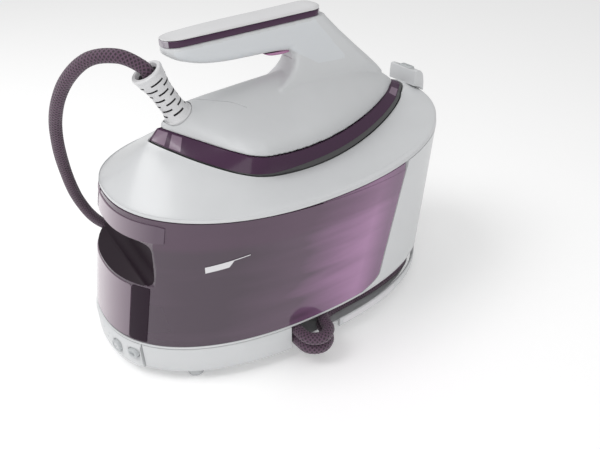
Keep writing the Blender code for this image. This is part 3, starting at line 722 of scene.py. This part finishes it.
LILAC = fading_material("front_lilac", 0.035, -0.062, (0.46, 0.37, 0.43), (0.085, 0.050, 0.082))
INK = plastic("front_dark", (0.018, 0.008, 0.017), 0.30, spec=0.15, bump=0.01)
bar = tank_skin("tank_front_bar", -0.0672, 0.0672, 0.1422, 0.1580, 0.0005, LILAC, 0.001)
low_front = tank_skin("tank_front_low", -0.0440, 0.0440, 0.0432, 0.0975, 0.0004, LILAC, 0.001)
strips = [tank_skin("tank_strip", s - 0.0075, s + 0.0075, 0.0430, 0.0985, 0.0003, INK, 0.0005,
                    steps=8) for s in (-0.0525, 0.0525)]
fit(joined("tank_front", [bar, low_front] + strips), "water_tank", "purple_clear")


def on_tank(x, z, out):
    """Point of the near wall at a station and height."""
    return side_at(angle_where(lambda t: side_at(t, z).x < x, 180.0, 270.0), z, -out)


def decal(name, corners, mat, out=0.00035, steps=8):
    """A thin printed patch on the near wall, from four (x, z) corners."""
    loops = []
    for i in range(steps):
        t = i / (steps - 1)
        (x0, z0), (x1, z1) = ([mix(a, b, t) for a, b in zip(corners[0], corners[1])],
                              [mix(a, b, t) for a, b in zip(corners[3], corners[2])])
        rows = [(mix(x0, x1, k / 3), mix(z0, z1, k / 3)) for k in range(4)]
        loops.append([on_tank(x, z, out) for x, z in rows]
                     + [on_tank(x, z, out - 0.0003) for x, z in rows[::-1]])
    return wall(name, loops, mat, 30)


badge = decal("level_badge", ((-0.1168, 0.1168), (-0.0985, 0.1205), (-0.0935, 0.1270),
                              (-0.1165, 0.1222)), PRINT_AND_HIGHLIGHT)
rule = decal("level_rule", ((-0.0945, 0.1262), (-0.0810, 0.1292), (-0.0810, 0.1298),
                            (-0.0940, 0.1270)), PRINT_AND_HIGHLIGHT)
fit(joined("level_mark", [badge, rule]), "water_tank", "white_gloss")

for sign, name in ((-1, "waist_strip_near"), (1, "waist_strip_far")):
    loops = []
    for a in spread(97.0, 69.0, 24):
        foot, inner = side(a, 1.0), side(a, 1.0, 0.0026)
        low = 0.1612
        high = max(waist_z(foot.x) - 0.0004, low + 0.0006)
        loops.append([Vector((p.x, sign * p.y, z)) for p, z in
                      ((foot, low), (foot, high), (inner, high), (inner, low))])
    fit(wall(name + "_skin", loops, TANK, 30), "base", "purple_clear", name)

# ---- rear wall and the base
LEVELS = HEIGHTS + [0.1603]
loops = []
for i in range(90):
    f = 2 * i / 89 - 1
    outer, inner = [], []
    for z in LEVELS:
        angle = f * (rear_angle(z) - 0.50)
        outer.append(side_at(angle, z, 0.0))
        inner.append(side_at(angle, z, WALL))
    for row, inset in ((outer, 0.0), (inner, WALL)):
        angle = f * (rear_angle(0.1666) - 0.50)
        low = side(angle, 1.0, inset)
        row.append(Vector((low.x, low.y, waist_z(low.x) - 0.0003)))
    loops.append(outer + inner[::-1])
rear = wall("rear_shell", loops, WHITE, 40)


def cross_axes(z):
    """Two directions square to z and to each other."""
    x = UP.cross(z).normalized() if abs(z.z) < 0.999 else Vector((1, 0, 0))
    return x, z.cross(x)


def circle(centre, x, y, radius, squash, segments):
    """A ring of points in the plane of x and y, its x radius times squash."""
    return [centre + x * radius * squash * math.cos(t) + y * radius * math.sin(t)
            for t in spread(0, 2 * math.pi, segments + 1)[:-1]]


def bar_between(name, start, end, radius, mat, squash=1.0):
    start, end = Vector(start), Vector(end)
    x, y = cross_axes((end - start).normalized())
    return loft(name, [circle(p, x, y, radius, squash, 48) for p in (start, end)], mat)


def turned(name, profile, start, direction, mats, squash=1.0, segments=56, index=None):
    """Rings of (radius, height) along a direction."""
    start, z = Vector(start), Vector(direction).normalized()
    x, y = cross_axes(z)
    loops = [circle(start + z * h, x, y, r, squash, segments) for r, h in profile]
    return loft(name, loops, mats, index=index)


KNOB, GLAND = (48, 0.33), (30, 0.12)  # angle round the wall and share of its height
knob_at, knob_n = side(*KNOB), facing(*KNOB)
gland_at, gland_n = side(*GLAND), facing(*GLAND)
for at, way, hole in ((knob_at, knob_n, 0.0128), (gland_at, gland_n, 0.0068)):
    subtract(rear, bar_between("hole", at - way * 0.012, at + way * 0.01, hole, WHITE))
fit(rear, "base", "white_gloss", "rear_housing")
knob = turned("rinse_knob_turned", ((0.0100, -0.0100), (0.0121, -0.0098), (0.0122, 0.0004),
                                    (0.0119, 0.0015), (0.0112, 0.0020), (0.0070, 0.0020),
                                    (0.0060, 0.0012), (0.0010, 0.0012)), knob_at, knob_n, GREY)
fin = turned("knob_fin", ((0.0016, 0.0008), (0.0018, 0.0020), (0.0014, 0.0024)), knob_at,
             knob_n, GREY, squash=5.2)
fit(joined("rinse_knob_shaped", [knob, fin]), "rinse_knob", "grey_plastic", "rinse_knob")



def foot_slab(name, rows):
    """A slab with the base's outline, through (inset, height) rows."""
    return loft(name, [[foot_line(a, inset, z) for a in RING] for inset, z in rows], WHITE)


slab = foot_slab("tank_floor_tray", ((0.0012, DECK_FLOOR_Z), (0.0004, DECK_FLOOR_Z + 0.0003),
                                     (0.0, DECK_FLOOR_Z + 0.0009), (0.0, FLOOR_TOP - 0.0005),
                                     (0.0004, FLOOR_TOP)))
fit(slab, "base", "white_gloss", "tank_floor")
plate = foot_slab("base_plate_pan", ((0.0086, PLINTH_Z), (0.0074, PLINTH_Z + 0.0004),
                                     (0.0070, PLINTH_Z + 0.0012), (0.0070, PLINTH_Z + 0.0030)))
fit(plate, "base", "white_gloss", "base_plate")
rim_loops = [[foot_line(a, 0.0010, PLINTH_Z), foot_line(a, 0.0003, PLINTH_Z + 0.0008),
              foot_line(a, 0.0, PLINTH_Z + 0.0025), foot_line(a, 0.0, 0.0202),
              foot_line(a, 0.0004, 0.0210), foot_line(a, 0.0012, 0.0212),
              foot_line(a, 0.0022, 0.0208), foot_line(a, 0.0036, 0.0150),
              foot_line(a, 0.0036, PLINTH_Z)] for a in spread(-RIM_ANGLE, RIM_ANGLE, 100)]
fit(wall("slot_rim_shell", rim_loops, WHITE, 50), "base", "white_gloss", "slot_rim")
PAD_FROM, PAD_TO, PAD_Z = -86.6, -62.0, 0.0164  # the raised pad, whose brighter white paints the rim's highlight: its ends round the rim, height
pad_loops = []
for a in spread(PAD_FROM, PAD_TO, 40):
    reach = min(a - PAD_FROM, PAD_TO - a) * 0.0034
    slim = math.sqrt(max(0.02, 1 - max(0.0, 1 - reach / 0.0032) ** 2))
    tall = 0.0036 * slim
    pad_loops.append([foot_line(a, -0.00035 + 0.0002 * (abs(z) ** 4), PAD_Z + tall * z)
                      for z in spread(-1, 1, 9)]
                     + [foot_line(a, 0.0006, PAD_Z + tall * z) for z in spread(1, -1, 9)])
fit(wall("rim_pad_painted_highlight", pad_loops, PRINT_AND_HIGHLIGHT, 50), "base", "white_gloss")


def plinth_loop(angle, inner):
    z = PLINTH_Z + (0.0034 if inner else 0.0)
    deep = 0.0040 if inner else 0.0
    top = DECK_FLOOR_Z - 0.0004
    return [foot_line(angle, deep + 0.0006, z), foot_line(angle, deep, z + 0.0008),
            foot_line(angle, deep, top - 0.0006), foot_line(angle, deep + 0.0005, top),
            foot_line(angle, deep + 0.0033, top), foot_line(angle, deep + 0.0033, z)]


front = spread(SLOT_ANGLE, PANEL_ANGLE - 0.4, 50)
middle = spread(PANEL_ANGLE, 360 - PANEL_ANGLE, 44)
plinth = wall("plinth_shell", [plinth_loop(a, False) for a in front]
              + [plinth_loop(a, True) for a in middle]
              + [plinth_loop(360 - a, False) for a in reversed(front)], WHITE, 40)
panel_loops = []
for a in spread(PANEL_ANGLE + 0.4, 359.6 - PANEL_ANGLE, 60):
    past_end = min(a - PANEL_ANGLE - 0.4, 359.6 - PANEL_ANGLE - a)
    tuck = 0.0006 * max(0.0, 1 - past_end / 1.5) ** 2
    face_rows = ((0.0002, 0.0094), (-0.0008, 0.0100), (-0.0021, 0.0130), (-0.0021, 0.0145),
                 (-0.0017, 0.0342), (-0.0012, 0.0356), (0.0002, 0.0380))
    panel_loops.append([foot_line(a, inset + tuck, z) for inset, z in face_rows]
                       + [foot_line(a, 0.0036, 0.0380), foot_line(a, 0.0036, 0.0094)])
panel = wall("panel_shell", panel_loops, WHITE, 40)


def button(name, angle, z, radius, squash, cap):
    """A ringed button in a hole of its own through the panel and the plinth."""
    out = foot_line(angle, -0.0020, z)
    normal = (out - foot_line(angle, 0.02, z)).normalized()
    for shell in (panel, plinth):
        subtract(shell, bar_between("hole", out - normal * 0.014, out + normal * 0.006,
                                    radius + 0.0005, WHITE, squash))
    r = radius
    ring = turned(name, ((r - 0.0004, -0.0100), (r, -0.0097), (r, 0.0015), (r - 0.0003, 0.0020),
                         (r - 0.0009, 0.0022), (r - 0.0017, 0.0021), (r - 0.0021, 0.0014),
                         (r - 0.0030, 0.0013), (r - 0.0034, 0.0018), (0.0006, 0.0020)),
                  out, normal, [GREY, cap], squash, index=lambda i, j: 1 if i > 5 else 0)
    return ring, out, normal


ring, out, normal = button("power_ring", 192.0, 0.0252, 0.0062, 1.0, WHITE)
dot = turned("power_dot", ((0.0012, 0.0016), (0.0013, 0.0022), (0.0010, 0.0024)), out, normal,
             GREY)
fit(joined("power_button_cap", [ring, dot]), "power_button", "grey_plastic", "power_button")
ring, out, normal = button("mode_ring", 201.8, 0.0272, 0.0046, 1.3, GREY)
dash = turned("mode_dash", ((0.0006, 0.0018), (0.0007, 0.0023), (0.0005, 0.0024)), out, normal,
              GREY_PRINT, squash=3.4)
fit(joined("mode_button_cap", [ring, dash]), "mode_button", "grey_plastic", "mode_button")
fit(panel, "base", "white_gloss", "control_panel")
fit(plinth, "base", "white_gloss", "front_plinth")
lamps = []
for angle, z, size in ((184.0, 0.0235, 0.0012), (186.0, 0.0312, 0.0009), (181.0, 0.0300, 0.0009),
                       (179.5, 0.0215, 0.0009)):
    at = foot_line(angle, -0.0019, z)
    normal = (at - foot_line(angle, 0.02, z)).normalized()
    lamps.append(turned("lamp", ((size, -0.0006), (size, 0.0001), (size * 0.6, 0.0002)), at,
                        normal, GREY))
fit(joined("panel_lamps", lamps), "base", "grey_plastic")
for n, (x, y) in enumerate(((-0.1321, -0.0765), (-0.1321, 0.0765), (0.124, -0.068),
                            (0.124, 0.068))):
    foot = turned("foot_%d_turned" % (n + 1), ((0.0062, 0.0), (0.0074, 0.0004),
                                               (0.0078, 0.0014), (0.0080, 0.0052),
                                               (0.0083, 0.0060), (0.0083, 0.0103)),
                  (x, y, 0), UP, RUBBER)
    fit(foot, "base", "rubber", "foot_%d" % (n + 1))

# ---- carry lock
LOCK = [(0.1737, 0.1985), (0.1790, 0.1966), (0.1834, 0.1948), (0.1878, 0.1914), (0.1885, 0.1940),
        (0.1881, 0.2000), (0.1864, 0.2078), (0.1846, 0.2112), (0.1818, 0.2138), (0.1788, 0.2148),
        (0.1755, 0.2150), (0.1738, 0.2140), (0.1733, 0.2060)]


def slab_of(name, outline, half, mats, round_y, steps):
    """An XZ outline given width along Y, with its two sides rounded over."""
    pts = [Vector(p) for p in outline]
    area = sum(a.x * b.y - b.x * a.y for a, b in zip(pts, pts[1:] + pts[:1]))
    hand = 1 if area > 0 else -1
    loops = []
    for i in range(2 * steps):
        k = i if i < steps else 2 * steps - 1 - i
        turn = math.pi / 2 * k / (steps - 1)
        y = (half - round_y * (1 - math.cos(turn))) * (-1 if i < steps else 1)
        pull = round_y * (1 - math.sin(turn))
        row = []
        for n, p in enumerate(outline):
            p = Vector(p)
            q, r = Vector(outline[n - 1]), Vector(outline[(n + 1) % len(outline)])
            along = (r - q).normalized()
            inward = Vector((-along.y, along.x)) * hand
            spot = p + inward * pull
            row.append(Vector((spot.x, y, spot.y)))
        loops.append(row)
    return loft(name, loops, mats)


def dense(outline, per_span, keep):
    """A closed curve through the outline, with the kept points left sharp."""
    out, count = [], len(outline)
    for n in range(count):
        a, b, c, d = (Vector(outline[(n + m) % count]) for m in (-1, 0, 1, 2))
        if n in keep:
            a = b - (c - b)
        if (n + 1) % count in keep:
            d = c + (c - b)
        out += [curve_point(a, b, c, d, k / per_span) for k in range(per_span)]
    return out


lock = slab_of("lock_shell", LOCK, 0.0200, WHITE, 0.0012, 4)
subtract(lock, rounded_box("well", (0.1752, -0.0096, 0.2070), (0.1842, 0.0096, 0.2300), 0.0028,
                           WHITE))
fit(lock, "base", "white_gloss", "lock_housing")
cap = rounded_box("lock_button_cap", (0.1755, -0.0091, 0.2096), (0.1837, 0.0091, 0.2160), 0.0026,
                  GREY)
for y in [mix(-0.0056, 0.0056, i / 4) for i in range(5)]:
    subtract(cap, rounded_box("rib", (0.1772, y - 0.0004, 0.2154), (0.1822, y + 0.0004, 0.2170),
                              0.0002, GREY))
fit(cap, "lock_button", "grey_plastic", "lock_button")

# ---- iron: sole, skirt and band
sole = loft("soleplate_shaped", [[flat(a, g, z) for a in RING] for g, z in
                                 ((-0.0086, SOLE_Z), (-0.0076, SOLE_Z + 0.0002),
                                  (-0.0060, SOLE_Z + 0.0012), (-0.0056, SOLE_Z + 0.0020),
                                  (-0.0056, SOLE_Z + 0.0032))], METAL, smooth=50)
vents = []
for i, share in enumerate(spread(0.30, 0.86, 9)):
    for sign in (-1, 1):
        turn = math.degrees(math.acos(2 * share - 1))
        spot = flat(sign * turn, -0.0230, SOLE_Z)
        vents.append(turned("vent", ((0.0016, -0.0020), (0.0016, 0.0012)), spot, UP, BLACK,
                            segments=14))
subtract(sole, joined("vent_tool", vents))
fit(sole, "iron", "metal", "soleplate")

loops = []
for a in RING:
    f = band_low(a) + 0.02
    low = flat(a, -0.0016, SOLE_Z + 0.0010)
    knee = skirt(a, 1.0, -0.0016) - UP * 0.0010
    loops.append([low + UP * 0.0002, low + UP * 0.0008 + (knee - low) * 0.04, knee,
                  skirt(a, 1.0, -0.0012), skirt(a, f, -0.0012),
                  skirt(a, f, -0.0036), skirt(a, 1.0, -0.0040) - UP * 0.0010,
                  flat(a, -0.0040, SOLE_Z + 0.0010)])
fit(loft("iron_skirt_shell", loops, SKIRT, closed=True, smooth=40), "iron", "dark_plastic",
    "iron_skirt")

# the band turns through a few flat facets at the heel and at the nose
FACETS = ((14, 22), (22, 31), (152.5, 158.5), (161.5, 174), (174, 180))
corners = {s * e % 360 for pair in FACETS for e in pair for s in (-1, 1)}
band_angles = [a for a in sorted({a % 360 for a in RING} | corners)
               if not any(lo + 0.3 < min(a, 360 - a) < hi - 0.3 for lo, hi in FACETS)]
loops = []
for a in band_angles:
    f = band_low(a) - 0.01
    loops.append([skirt(a, f, -0.0001), skirt(a, f - 0.06), skirt(a, 0.06), skirt(a, 0.0, -0.0003),
                  skirt(a, 0.0, -0.0024), skirt(a, f, -0.0024)])


def band_face(i, j):
    """The paler material, painted light, on the outer faces of three of the facets where the light
    falls.
    """
    a = band_angles[i]
    b = band_angles[(i + 1) % len(band_angles)]
    mid = (a + (b if b > a else b + 360)) / 2
    mid = min(mid % 360, 360 - mid % 360)
    return 1 if j == 1 and (153 < mid < 158 or 162 < mid < 173 or 22 < mid < 31) else 0


fit(loft("iron_band_faceted", loops, [PURPLE, FACET_PAINTED_LIGHT], closed=True, smooth=24, index=band_face),
    "iron", "purple_clear", "iron_band")

# ---- iron: body and handle shell
RIDGE = ((-0.1050, 0.2150), (-0.0978, 0.2192), (-0.0900, 0.2240), (-0.0812, 0.2278),
         (-0.0603, 0.2308), (-0.0218, 0.2350), (0.0053, 0.2376), (0.0300, 0.2400),
         (0.0600, 0.2400), (0.0900, 0.2360), (0.1150, 0.2290), (0.1350, 0.2195),
         (0.1480, 0.2110), (0.1550, 0.2060))


def arch(x, count=60):
    """The body's section at a station: a dome with a raised crown."""
    _, half, low = sheer(BAND_LINE, (x - BAND_LINE[0]) / BAND_LINE[1])
    half -= 0.0012
    low += 0.0006
    tall = table(RIDGE, x) - low
    points = []
    for i in range(count + 1):
        turn = math.pi * i / count
        dome = 0.45 * math.sin(turn) ** 0.8
        y = -half * math.cos(turn)
        top = 0.55 * math.exp(-(abs(y) / 0.026) ** 2.0) * math.sin(turn) ** 0.5
        points.append(Vector((x, y, low + tall * (dome + top))))
    return points


def eased_stations(start, end, count):
    """Stations that crowd towards both ends."""
    return [mix(start, end, 0.5 - 0.5 * math.cos(math.pi * i / (count - 1)))
            for i in range(count)]


stations = eased_stations(RIDGE[0][0], RIDGE[-1][0], 60)
shell = loft("iron_shell", [arch(x) for x in stations], WHITE)


def split_z(x):
    """Height of the line between the handle's white frame and the purple stripe."""
    return 0.2803 + 0.055 * (x + 0.06) + (0.10 * (x + 0.06)) ** 2


HANDLE_HALF = 0.0138
HEEL_END, NOSE_END = -0.0962, 0.0565
UNDERSIDE = [(-0.1002, 0.2762), (-0.0950, 0.2722), (-0.0854, 0.2668), (-0.0667, 0.2615),
             (-0.0453, 0.2594), (-0.0202, 0.2594), (-0.0005, 0.2597), (0.0180, 0.2590),
             (0.0400, 0.2560)]
PILLAR_BACK = [(0.2280, 0.0020), (0.2330, 0.0110), (0.2390, 0.0185), (0.2450, 0.0228),
               (0.2510, 0.0250), (0.2560, 0.0240), (0.2600, 0.0200), (0.2850, 0.0200)]
PILLAR_FRONT = [(0.2180, 0.1400), (0.2272, 0.1300), (0.2550, 0.0958), (0.2690, 0.0788),
                (0.2850, 0.0610)]


def plan_half(x, rounded_nose=True):
    """The grip's half width: both ends are round in plan."""
    near = max(0.0, HEEL_END + 0.0170 - x) / 0.0170
    far = max(0.0, x - NOSE_END + 0.0130) / 0.0130 if rounded_nose else 0.0
    return HANDLE_HALF * math.sqrt(max(0.02, 1 - max(near, far) ** 2))


def round_rect(a0, a1, b0, b1, radii, per=6):
    """Rounded rectangle as (a, b) points; radii at (a0 b0), (a1 b0), (a1 b1), (a0 b1)."""
    out = []
    for (a, b, sa, sb), r, first_turn in zip(((a0, b0, 1, 1), (a1, b0, -1, 1), (a1, b1, -1, -1),
                                              (a0, b1, 1, -1)), radii, (180, 270, 0, 90)):
        for t in spread(first_turn, first_turn + 90, per):
            turn = math.radians(t)
            out.append((a + sa * r + r * math.cos(turn), b + sb * r + r * math.sin(turn)))
    return out


low_line = [(p.x, p.y) for p in catmull([Vector((x, z, 0)) for x, z in UNDERSIDE], 6)]
loops = []
for x in eased_stations(HEEL_END, 0.0420, 60):
    half = plan_half(x, False)
    low, top = table(low_line, x), split_z(x)
    tall = top - low
    r = min(0.0085, half * 0.7, tall * 0.6)
    loops.append([Vector((x, y, z)) for y, z in
                  round_rect(-half, half, low, top, (r, r, min(0.001, r), min(0.001, r)), 7)])
grip = loft("grip", loops, WHITE)
loops = []
for z in spread(0.2180, 0.2865, 50):
    foot = ease((0.2560 - z) / 0.030)
    back_x = table(PILLAR_BACK, z)
    front_x = table(PILLAR_FRONT, z)
    half = HANDLE_HALF + 0.0045 * foot
    loops.append([Vector((x, y, z)) for x, y in
                  round_rect(back_x, front_x, -half, half, (0.006, 0.010, 0.010, 0.006), 7)])
pillar = loft("pillar", loops, WHITE)
for v in pillar.data.vertices:
    v.co.y *= 1 - 0.60 * ease((v.co.x - CX - 0.085) / 0.065)
    v.co.z = min(v.co.z, split_z(v.co.x - CX))
shell = joined("iron_shell", [shell, grip, pillar])
mod = shell.modifiers.new("even", "REMESH")
mod.mode, mod.voxel_size = "VOXEL", 0.0010
baked(shell)
mod = shell.modifiers.new("soften", "SMOOTH")
mod.factor, mod.iterations = 0.5, 16
baked(shell)
subtract(shell, bar_between("seat", RELIEF_AT - RELIEF_DIR * 0.030,
                            RELIEF_AT + RELIEF_DIR * 0.012, 0.0141, WHITE))
subtract(shell, rounded_box("well", (-0.0062, -0.0073, 0.2500), (0.0254, 0.0073, 0.2692), 0.0010,
                            BLACK))
# the seam of the heel cover, pressed into the crown
SEAM = [(-0.0740, 0.0050), (-0.0668, -0.0030), (-0.0560, -0.0100), (-0.0440, -0.0150),
        (-0.0330, -0.0215)]
tree = BVHTree.FromObject(shell, bpy.context.evaluated_depsgraph_get())
seam = []
for spot in catmull([Vector((x, y, 0)) for x, y in SEAM], 10):
    hit = tree.ray_cast(Vector((spot.x + CX, spot.y, 0.250)), -UP)[0]
    seam.append(hit - Vector((CX, 0, 0)))
loops = []
for i, p in enumerate(seam):
    tangent = (seam[min(i + 1, len(seam) - 1)] - seam[max(i - 1, 0)]).normalized()
    a = tangent.cross(UP).normalized()
    b = tangent.cross(a)
    loops.append([p + a * 0.00035 * math.cos(t) + b * 0.0008 * math.sin(t)
                  for t in spread(0, 2 * math.pi, 9)[:-1]])
subtract(shell, loft("seam", loops, BLACK))
shell.data.materials.clear()
for mat in (WHITE, GRIP, BLACK):
    shell.data.materials.append(mat)


def inside_grip(x, z):
    """The softer insert on the flanks: under the stripe, and down the pillar."""
    if x < -0.0940 or z > split_z(x) - 0.0030:
        return False
    edge = 0.0500 + 0.95 * (0.2840 - z)
    if x > min(edge, 0.0850) - 0.0050:
        return False
    return z > 0.2575 - 0.55 * max(0.0, x - 0.0250)


for face in shell.data.polygons:
    c = face.center
    x = c.x - CX
    side_on = abs(face.normal.y) > 0.72 and abs(c.y) > 0.0105 and c.z > 0.2440
    face.material_index = 1 if side_on and inside_grip(x, c.z) else 0
    if -0.006 < x < 0.0252 and abs(c.y) < 0.0073 and 0.2600 < c.z < 0.2693:
        face.material_index = 2
shell.data.shade_smooth()
shell.data.set_sharp_from_angle(angle=math.radians(45))
fit(shell, "iron", "white_gloss", "iron_body", "handle_frame")

loops = []
for x in eased_stations(HEEL_END + 0.0008, NOSE_END - 0.0006, 80):
    half = plan_half(x) - 0.0001
    low, top = split_z(x) - 0.0002, split_z(x) + 0.0050
    loops.append([Vector((x, y, z)) for y, z in
                  round_rect(-half, half, low, top, [min(0.0009, half * 0.5)] * 4, 4)])
stripe = loft("handle_stripe_glossy", loops, [PURPLE, SILVER])
for face in stripe.data.polygons:
    x = face.center.x - CX
    if x > 0.0500 or x < -0.0925:
        face.material_index = 1
fit(stripe, "iron", "purple_clear", "handle_stripe")
PAD_TOP = [(-0.0958, 0.2826), (-0.0930, 0.2838), (-0.0870, 0.2852), (-0.0600, 0.2888),
           (-0.0300, 0.2913), (0.0, 0.2932), (0.0300, 0.2955), (0.0420, 0.2964), (0.0500, 0.2960),
           (0.0545, 0.2945), (0.0560, 0.2925)]
top_line = [(p.x, p.y) for p in catmull([Vector((x, z, 0)) for x, z in PAD_TOP], 6)]
loops = []
for x in eased_stations(HEEL_END + 0.0010, NOSE_END - 0.0008, 90):
    half = plan_half(x) - 0.0003
    low = split_z(x) + 0.0053
    top = max(table(top_line, x), low + 0.0008)
    crown = [Vector((x, half * power(math.cos(t), 0.62), low + 0.0006
                     + (top - low - 0.0006) * power(math.sin(t), 0.85)))
             for t in spread(0, math.pi, 25)]
    loops.append([Vector((x, half - 0.0004, low))] + crown + [Vector((x, 0.0004 - half, low))])
pad = loft("handle_pad_crowned", loops, PAD, smooth=50)
fit(pad, "iron", "white_gloss", "handle_pad")

TRIGGER = [(0.0240, 0.2650), (0.0240, 0.2590), (0.0228, 0.2566), (0.0160, 0.2556),
           (0.0050, 0.2558), (-0.0020, 0.2576), (-0.0050, 0.2606), (0.0120, 0.2632)]
trigger = slab_of("trigger_lever", dense(TRIGGER, 4, (0, 7)), 0.0066, PINK, 0.0018, 6)
fit(trigger, "trigger", "pink_clear", "trigger")

# ---- strain relief
def relief_r(h):
    """The relief's radius at a height: waisted above its collar, then flared."""
    u = h / TALL
    return 0.0128 - 0.0026 * ease(u / 0.28) + 0.0032 * ease((u - 0.55) / 0.45)


rings = [(0.0132, 0.0004), (0.0136, 0.0012), (0.0136, 0.0034), (0.0130, 0.0042)]
rings += [(relief_r(h), h) for h in spread(0.0046, TALL - 0.0030, 30)]
rings += [(0.0136, TALL - 0.0022), (0.0137, TALL - 0.0010), (0.0131, TALL), (0.0104, TALL),
          (0.0088, TALL - 0.0030), (0.0071, TALL - 0.012), (0.0071, 0.0004)]
relief = turned("relief", rings + rings[:1], RELIEF_AT, RELIEF_DIR, [PAD, BLACK], segments=64)
# the profile comes back to its start, so the two end faces go and the seam is welded
bm = bmesh.new()
bm.from_mesh(relief.data)
ends = [f for f in bm.faces if len(f.verts) > 8]
bmesh.ops.delete(bm, geom=ends, context="FACES_ONLY")
bmesh.ops.remove_doubles(bm, verts=bm.verts, dist=0.00001)
bmesh.ops.recalc_face_normals(bm, faces=bm.faces)
bm.to_mesh(relief.data)
bm.free()
axis_x, axis_y = cross_axes(RELIEF_DIR)
SLOT_ROWS, FIRST_SLOT, SLOT_PITCH = 7, 0.0095, 0.0054
slots = []
for n in range(SLOT_ROWS):
    h = FIRST_SLOT + n * SLOT_PITCH
    for quarter in range(4):
        centre = math.pi / 2 * quarter + (math.pi / 4 if n % 2 else 0.0)
        arcs = []
        for t in spread(centre - 0.50, centre + 0.50, 9):
            radial = axis_x * math.cos(t) + axis_y * math.sin(t)
            arcs.append([RELIEF_AT + RELIEF_DIR * (h + dz) + radial * r for r, dz in
                         ((relief_r(h) - 0.0026, -0.0007), (relief_r(h) + 0.0020, -0.0009),
                          (relief_r(h) + 0.0020, 0.0009), (relief_r(h) - 0.0026, 0.0007))])
        slots.append(loft("slot", arcs, BLACK))
subtract(relief, joined("slots", slots))
relief.data.materials.clear()
for mat in (PAD, SLOT):
    relief.data.materials.append(mat)
origin = RELIEF_AT + Vector((CX, 0, 0))
for face in relief.data.polygons:
    rel = face.center - origin
    h = rel.dot(RELIEF_DIR)
    r = (rel - RELIEF_DIR * h).length
    face.material_index = 1 if 0.006 < h < 0.045 and 0.0074 < r < relief_r(h) - 0.0006 else 0
relief.data.shade_smooth()
relief.data.set_sharp_from_angle(angle=math.radians(35))
fit(relief, "iron", "grey_plastic", "strain_relief")

# ---- floor and light
bm = bmesh.new()
bmesh.ops.create_grid(bm, x_segments=1, y_segments=1, size=6.0)
mesh = bpy.data.meshes.new("floor")
bm.to_mesh(mesh)
bm.free()
floor = link(bpy.data.objects.new("floor", mesh))
floor.location.z = -0.0002
floor_mat, _, shader = new_material("floor_white")
shader.inputs["Base Color"].default_value = (0.97, 0.97, 0.97, 1)
shader.inputs["Roughness"].default_value = 0.9
shader.inputs["Specular IOR Level"].default_value = 0.0
shader.inputs["Emission Color"].default_value = (1, 1, 1, 1)
shader.inputs["Emission Strength"].default_value = 0.14
mesh.materials.append(floor_mat)


def softbox(name, place, aim, size, watts):
    data = bpy.data.lights.new(name, "AREA")
    data.shape = "RECTANGLE"
    data.size = data.size_y = size
    data.energy = watts
    obj = link(bpy.data.objects.new(name, data))
    obj.location = place
    obj.rotation_mode = "QUATERNION"
    obj.rotation_quaternion = (Vector(aim) - Vector(place)).to_track_quat("-Z", "Y")


softbox("key", (-0.9, 0.3, 1.5), (0, 0, 0.1), 0.9, 11)
softbox("fill", (-0.9, -1.3, 0.8), (0, 0, 0.1), 1.2, 6)
world = bpy.data.worlds.new("world")
bpy.context.scene.world = world
world.use_nodes = True
sky = world.node_tree.nodes["Background"]
sky.inputs["Color"].default_value = (1, 1, 1, 1)
sky.inputs["Strength"].default_value = 0.60
bpy.context.scene.view_settings.view_transform = "Standard"
